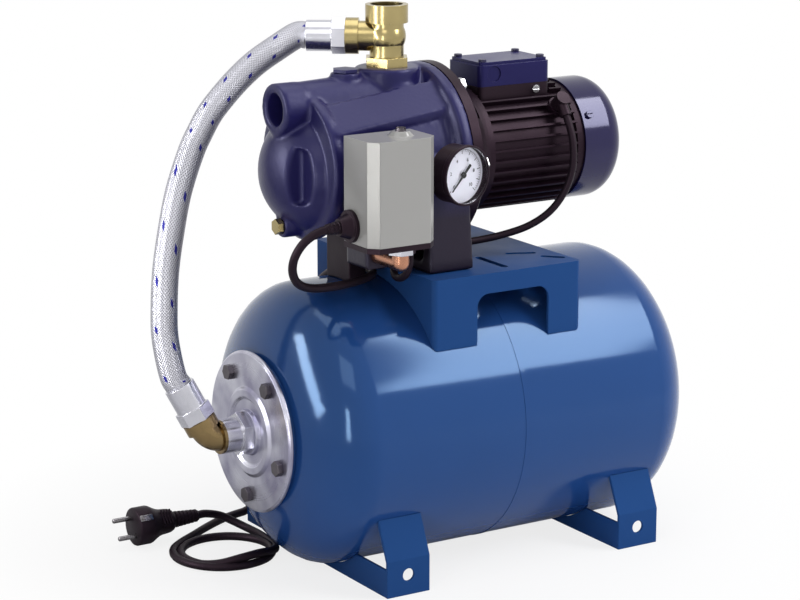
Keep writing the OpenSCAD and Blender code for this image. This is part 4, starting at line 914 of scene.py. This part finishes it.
weave = math_node(tree, "MAXIMUM", wave(150.0, 30.0), wave(150.0, -30.0))
dash = math_node(tree, "GREATER_THAN", wave(11.0, 2.0), 0.85)
thread = math_node(tree, "GREATER_THAN", wave(0.0, 5.0), 0.80)
tracer = math_node(tree, "MULTIPLY", dash, thread)
# painted shade: the colour darkens from each strand's crest into the gaps between the strands
shaded_steel = blend_colour(tree, weave, (0.06, 0.06, 0.075, 1), (0.62, 0.62, 0.68, 1))
tracer_blue = (0.025, 0.025, 0.24, 1)
tree.links.new(blend_colour(tree, tracer, shaded_steel, tracer_blue), shader.inputs["Base Color"])
tree.links.new(spread(tree, weave, 0.50, 0.28), shader.inputs["Roughness"])
relief(tree, shader, weave, 0.5, 0.0006)
dress(hose, "steel_braid")
print("braid on", hose.name, "uv", [layer.name for layer in hose.data.uv_layers])

# %% [markdown]
# ## Studio
# A pale floor catches a soft shadow near the set and fades into plain white farther out. It could be a plain
# white sheet, but then bright light would be needed to make it white. Instead the camera, glass and mirrors
# see it glow more and more with the distance, while the light on the set stays as it is.

# %% Floor
mesh = bpy.data.meshes.new("floor")
bm = bmesh.new()
bmesh.ops.create_grid(bm, x_segments=1, y_segments=1, size=30)
bm.to_mesh(mesh)
bm.free()
floor = bpy.data.objects.new("floor", mesh)
bpy.context.collection.objects.link(floor)
tree, shader = new_material("floor_paint")
shader.inputs["Base Color"].default_value = (0.93, 0.93, 0.94, 1)
shader.inputs["Roughness"].default_value = 0.9
shader.inputs["Specular IOR Level"].default_value = 0.1
distance = tree.nodes.new("ShaderNodeVectorMath")
distance.operation = "LENGTH"
tree.links.new(object_place(tree), distance.inputs[0])
camera_white = spread(tree, distance.outputs["Value"], 0.80, 1.0, 0.22, 0.48)
mirror_white = spread(tree, distance.outputs["Value"], 0.05, 1.0, 0.45, 1.8)
glow = tree.nodes.new("ShaderNodeEmission")
glow.inputs["Color"].default_value = (1, 1, 1, 1)
glow.inputs["Strength"].default_value = 1.0
path = tree.nodes.new("ShaderNodeLightPath")
straight = math_node(tree, "MAXIMUM", path.outputs["Is Camera Ray"], path.outputs["Is Transmission Ray"])
straight = math_node(tree, "MULTIPLY", straight, camera_white)
mirrored = math_node(tree, "MULTIPLY", path.outputs["Is Glossy Ray"], mirror_white)


def mixed(tree, mask, first, second, target):
    mix = tree.nodes.new("ShaderNodeMixShader")
    tree.links.new(mask, mix.inputs["Fac"])
    tree.links.new(first.outputs[0], mix.inputs[1])
    tree.links.new(second.outputs[0], mix.inputs[2])
    tree.links.new(mix.outputs[0], tree.nodes[target].inputs["Surface"])


mixed(tree, math_node(tree, "MAXIMUM", straight, mirrored), shader, glow, "Material Output")
dress(floor, "floor_paint")
print("floor", floor.name)

# %% [markdown]
# The world is white for the camera, for glass and for mirrors, and dim for the light that it sends, so that the
# colours stay as written.

# %% World
world = bpy.data.worlds.new("studio")
bpy.context.scene.world = world
world.use_nodes = True
tree = world.node_tree
light = tree.nodes["Background"]
light.inputs["Color"].default_value = (0.95, 0.96, 1.0, 1)
light.inputs["Strength"].default_value = 0.25
white = tree.nodes.new("ShaderNodeBackground")
white.inputs["Color"].default_value = (1, 1, 1, 1)
white.inputs["Strength"].default_value = 1.0
path = tree.nodes.new("ShaderNodeLightPath")
seen = math_node(tree, "MAXIMUM", path.outputs["Is Camera Ray"], path.outputs["Is Transmission Ray"])
seen = math_node(tree, "MAXIMUM", seen, path.outputs["Is Glossy Ray"])
mixed(tree, seen, light, white, "World Output")
print("world light", light.inputs["Strength"].default_value)

# %% [markdown]
# A long soft box stands to the right. It gives the main light and shows as a bright band on the tank and a
# patch on the fan cover. Weaker lamps fill in: one from the upper left, a low one whose light the switch's
# chamfer mirrors, and a wide one above. A slanted strip far to the left is seen only as a reflection, on the
# tank's left shoulder.

# %% Lamps


def lamp(name, place, target, size, power, tint=(1, 1, 1)):
    data = bpy.data.lights.new(name, "AREA")
    data.shape = "RECTANGLE"
    data.size, data.size_y = size
    data.energy = power
    data.color = tint
    obj = bpy.data.objects.new(name, data)
    obj.location = place
    obj.rotation_euler = (Vector(target) - Vector(place)).to_track_quat("-Z", "Y").to_euler()
    bpy.context.collection.objects.link(obj)
    return obj


lamp("strip_lamp", (1.20, -0.97, 1.66), (1.20, -0.3964, 0.8408), (0.59, 1.85), 36)
lamp("key_lamp", (-1.5, -1.3, 1.9), (0, 0, 0.25), (1.0, 1.0), 7, (1, 0.98, 0.94))
lamp("edge_lamp", (-1.5, -1.0, 0.15), (-0.1, -0.1, 0.35), (0.18, 0.9), 6.5, (1, 0.99, 0.95))
lamp("top_lamp", (0, 0.3, 2.3), (0, 0, 0.3), (2.0, 1.2), 13)
streak = lamp("streak_lamp", (-1.47, 0.30, 0.64), (-0.175, -0.077, 0.21), (0.25, 1.2), 15)
streak.rotation_euler.rotate_axis("Z", math.radians(45))
streak.visible_diffuse = False
bpy.context.scene.view_settings.view_transform = "Standard"
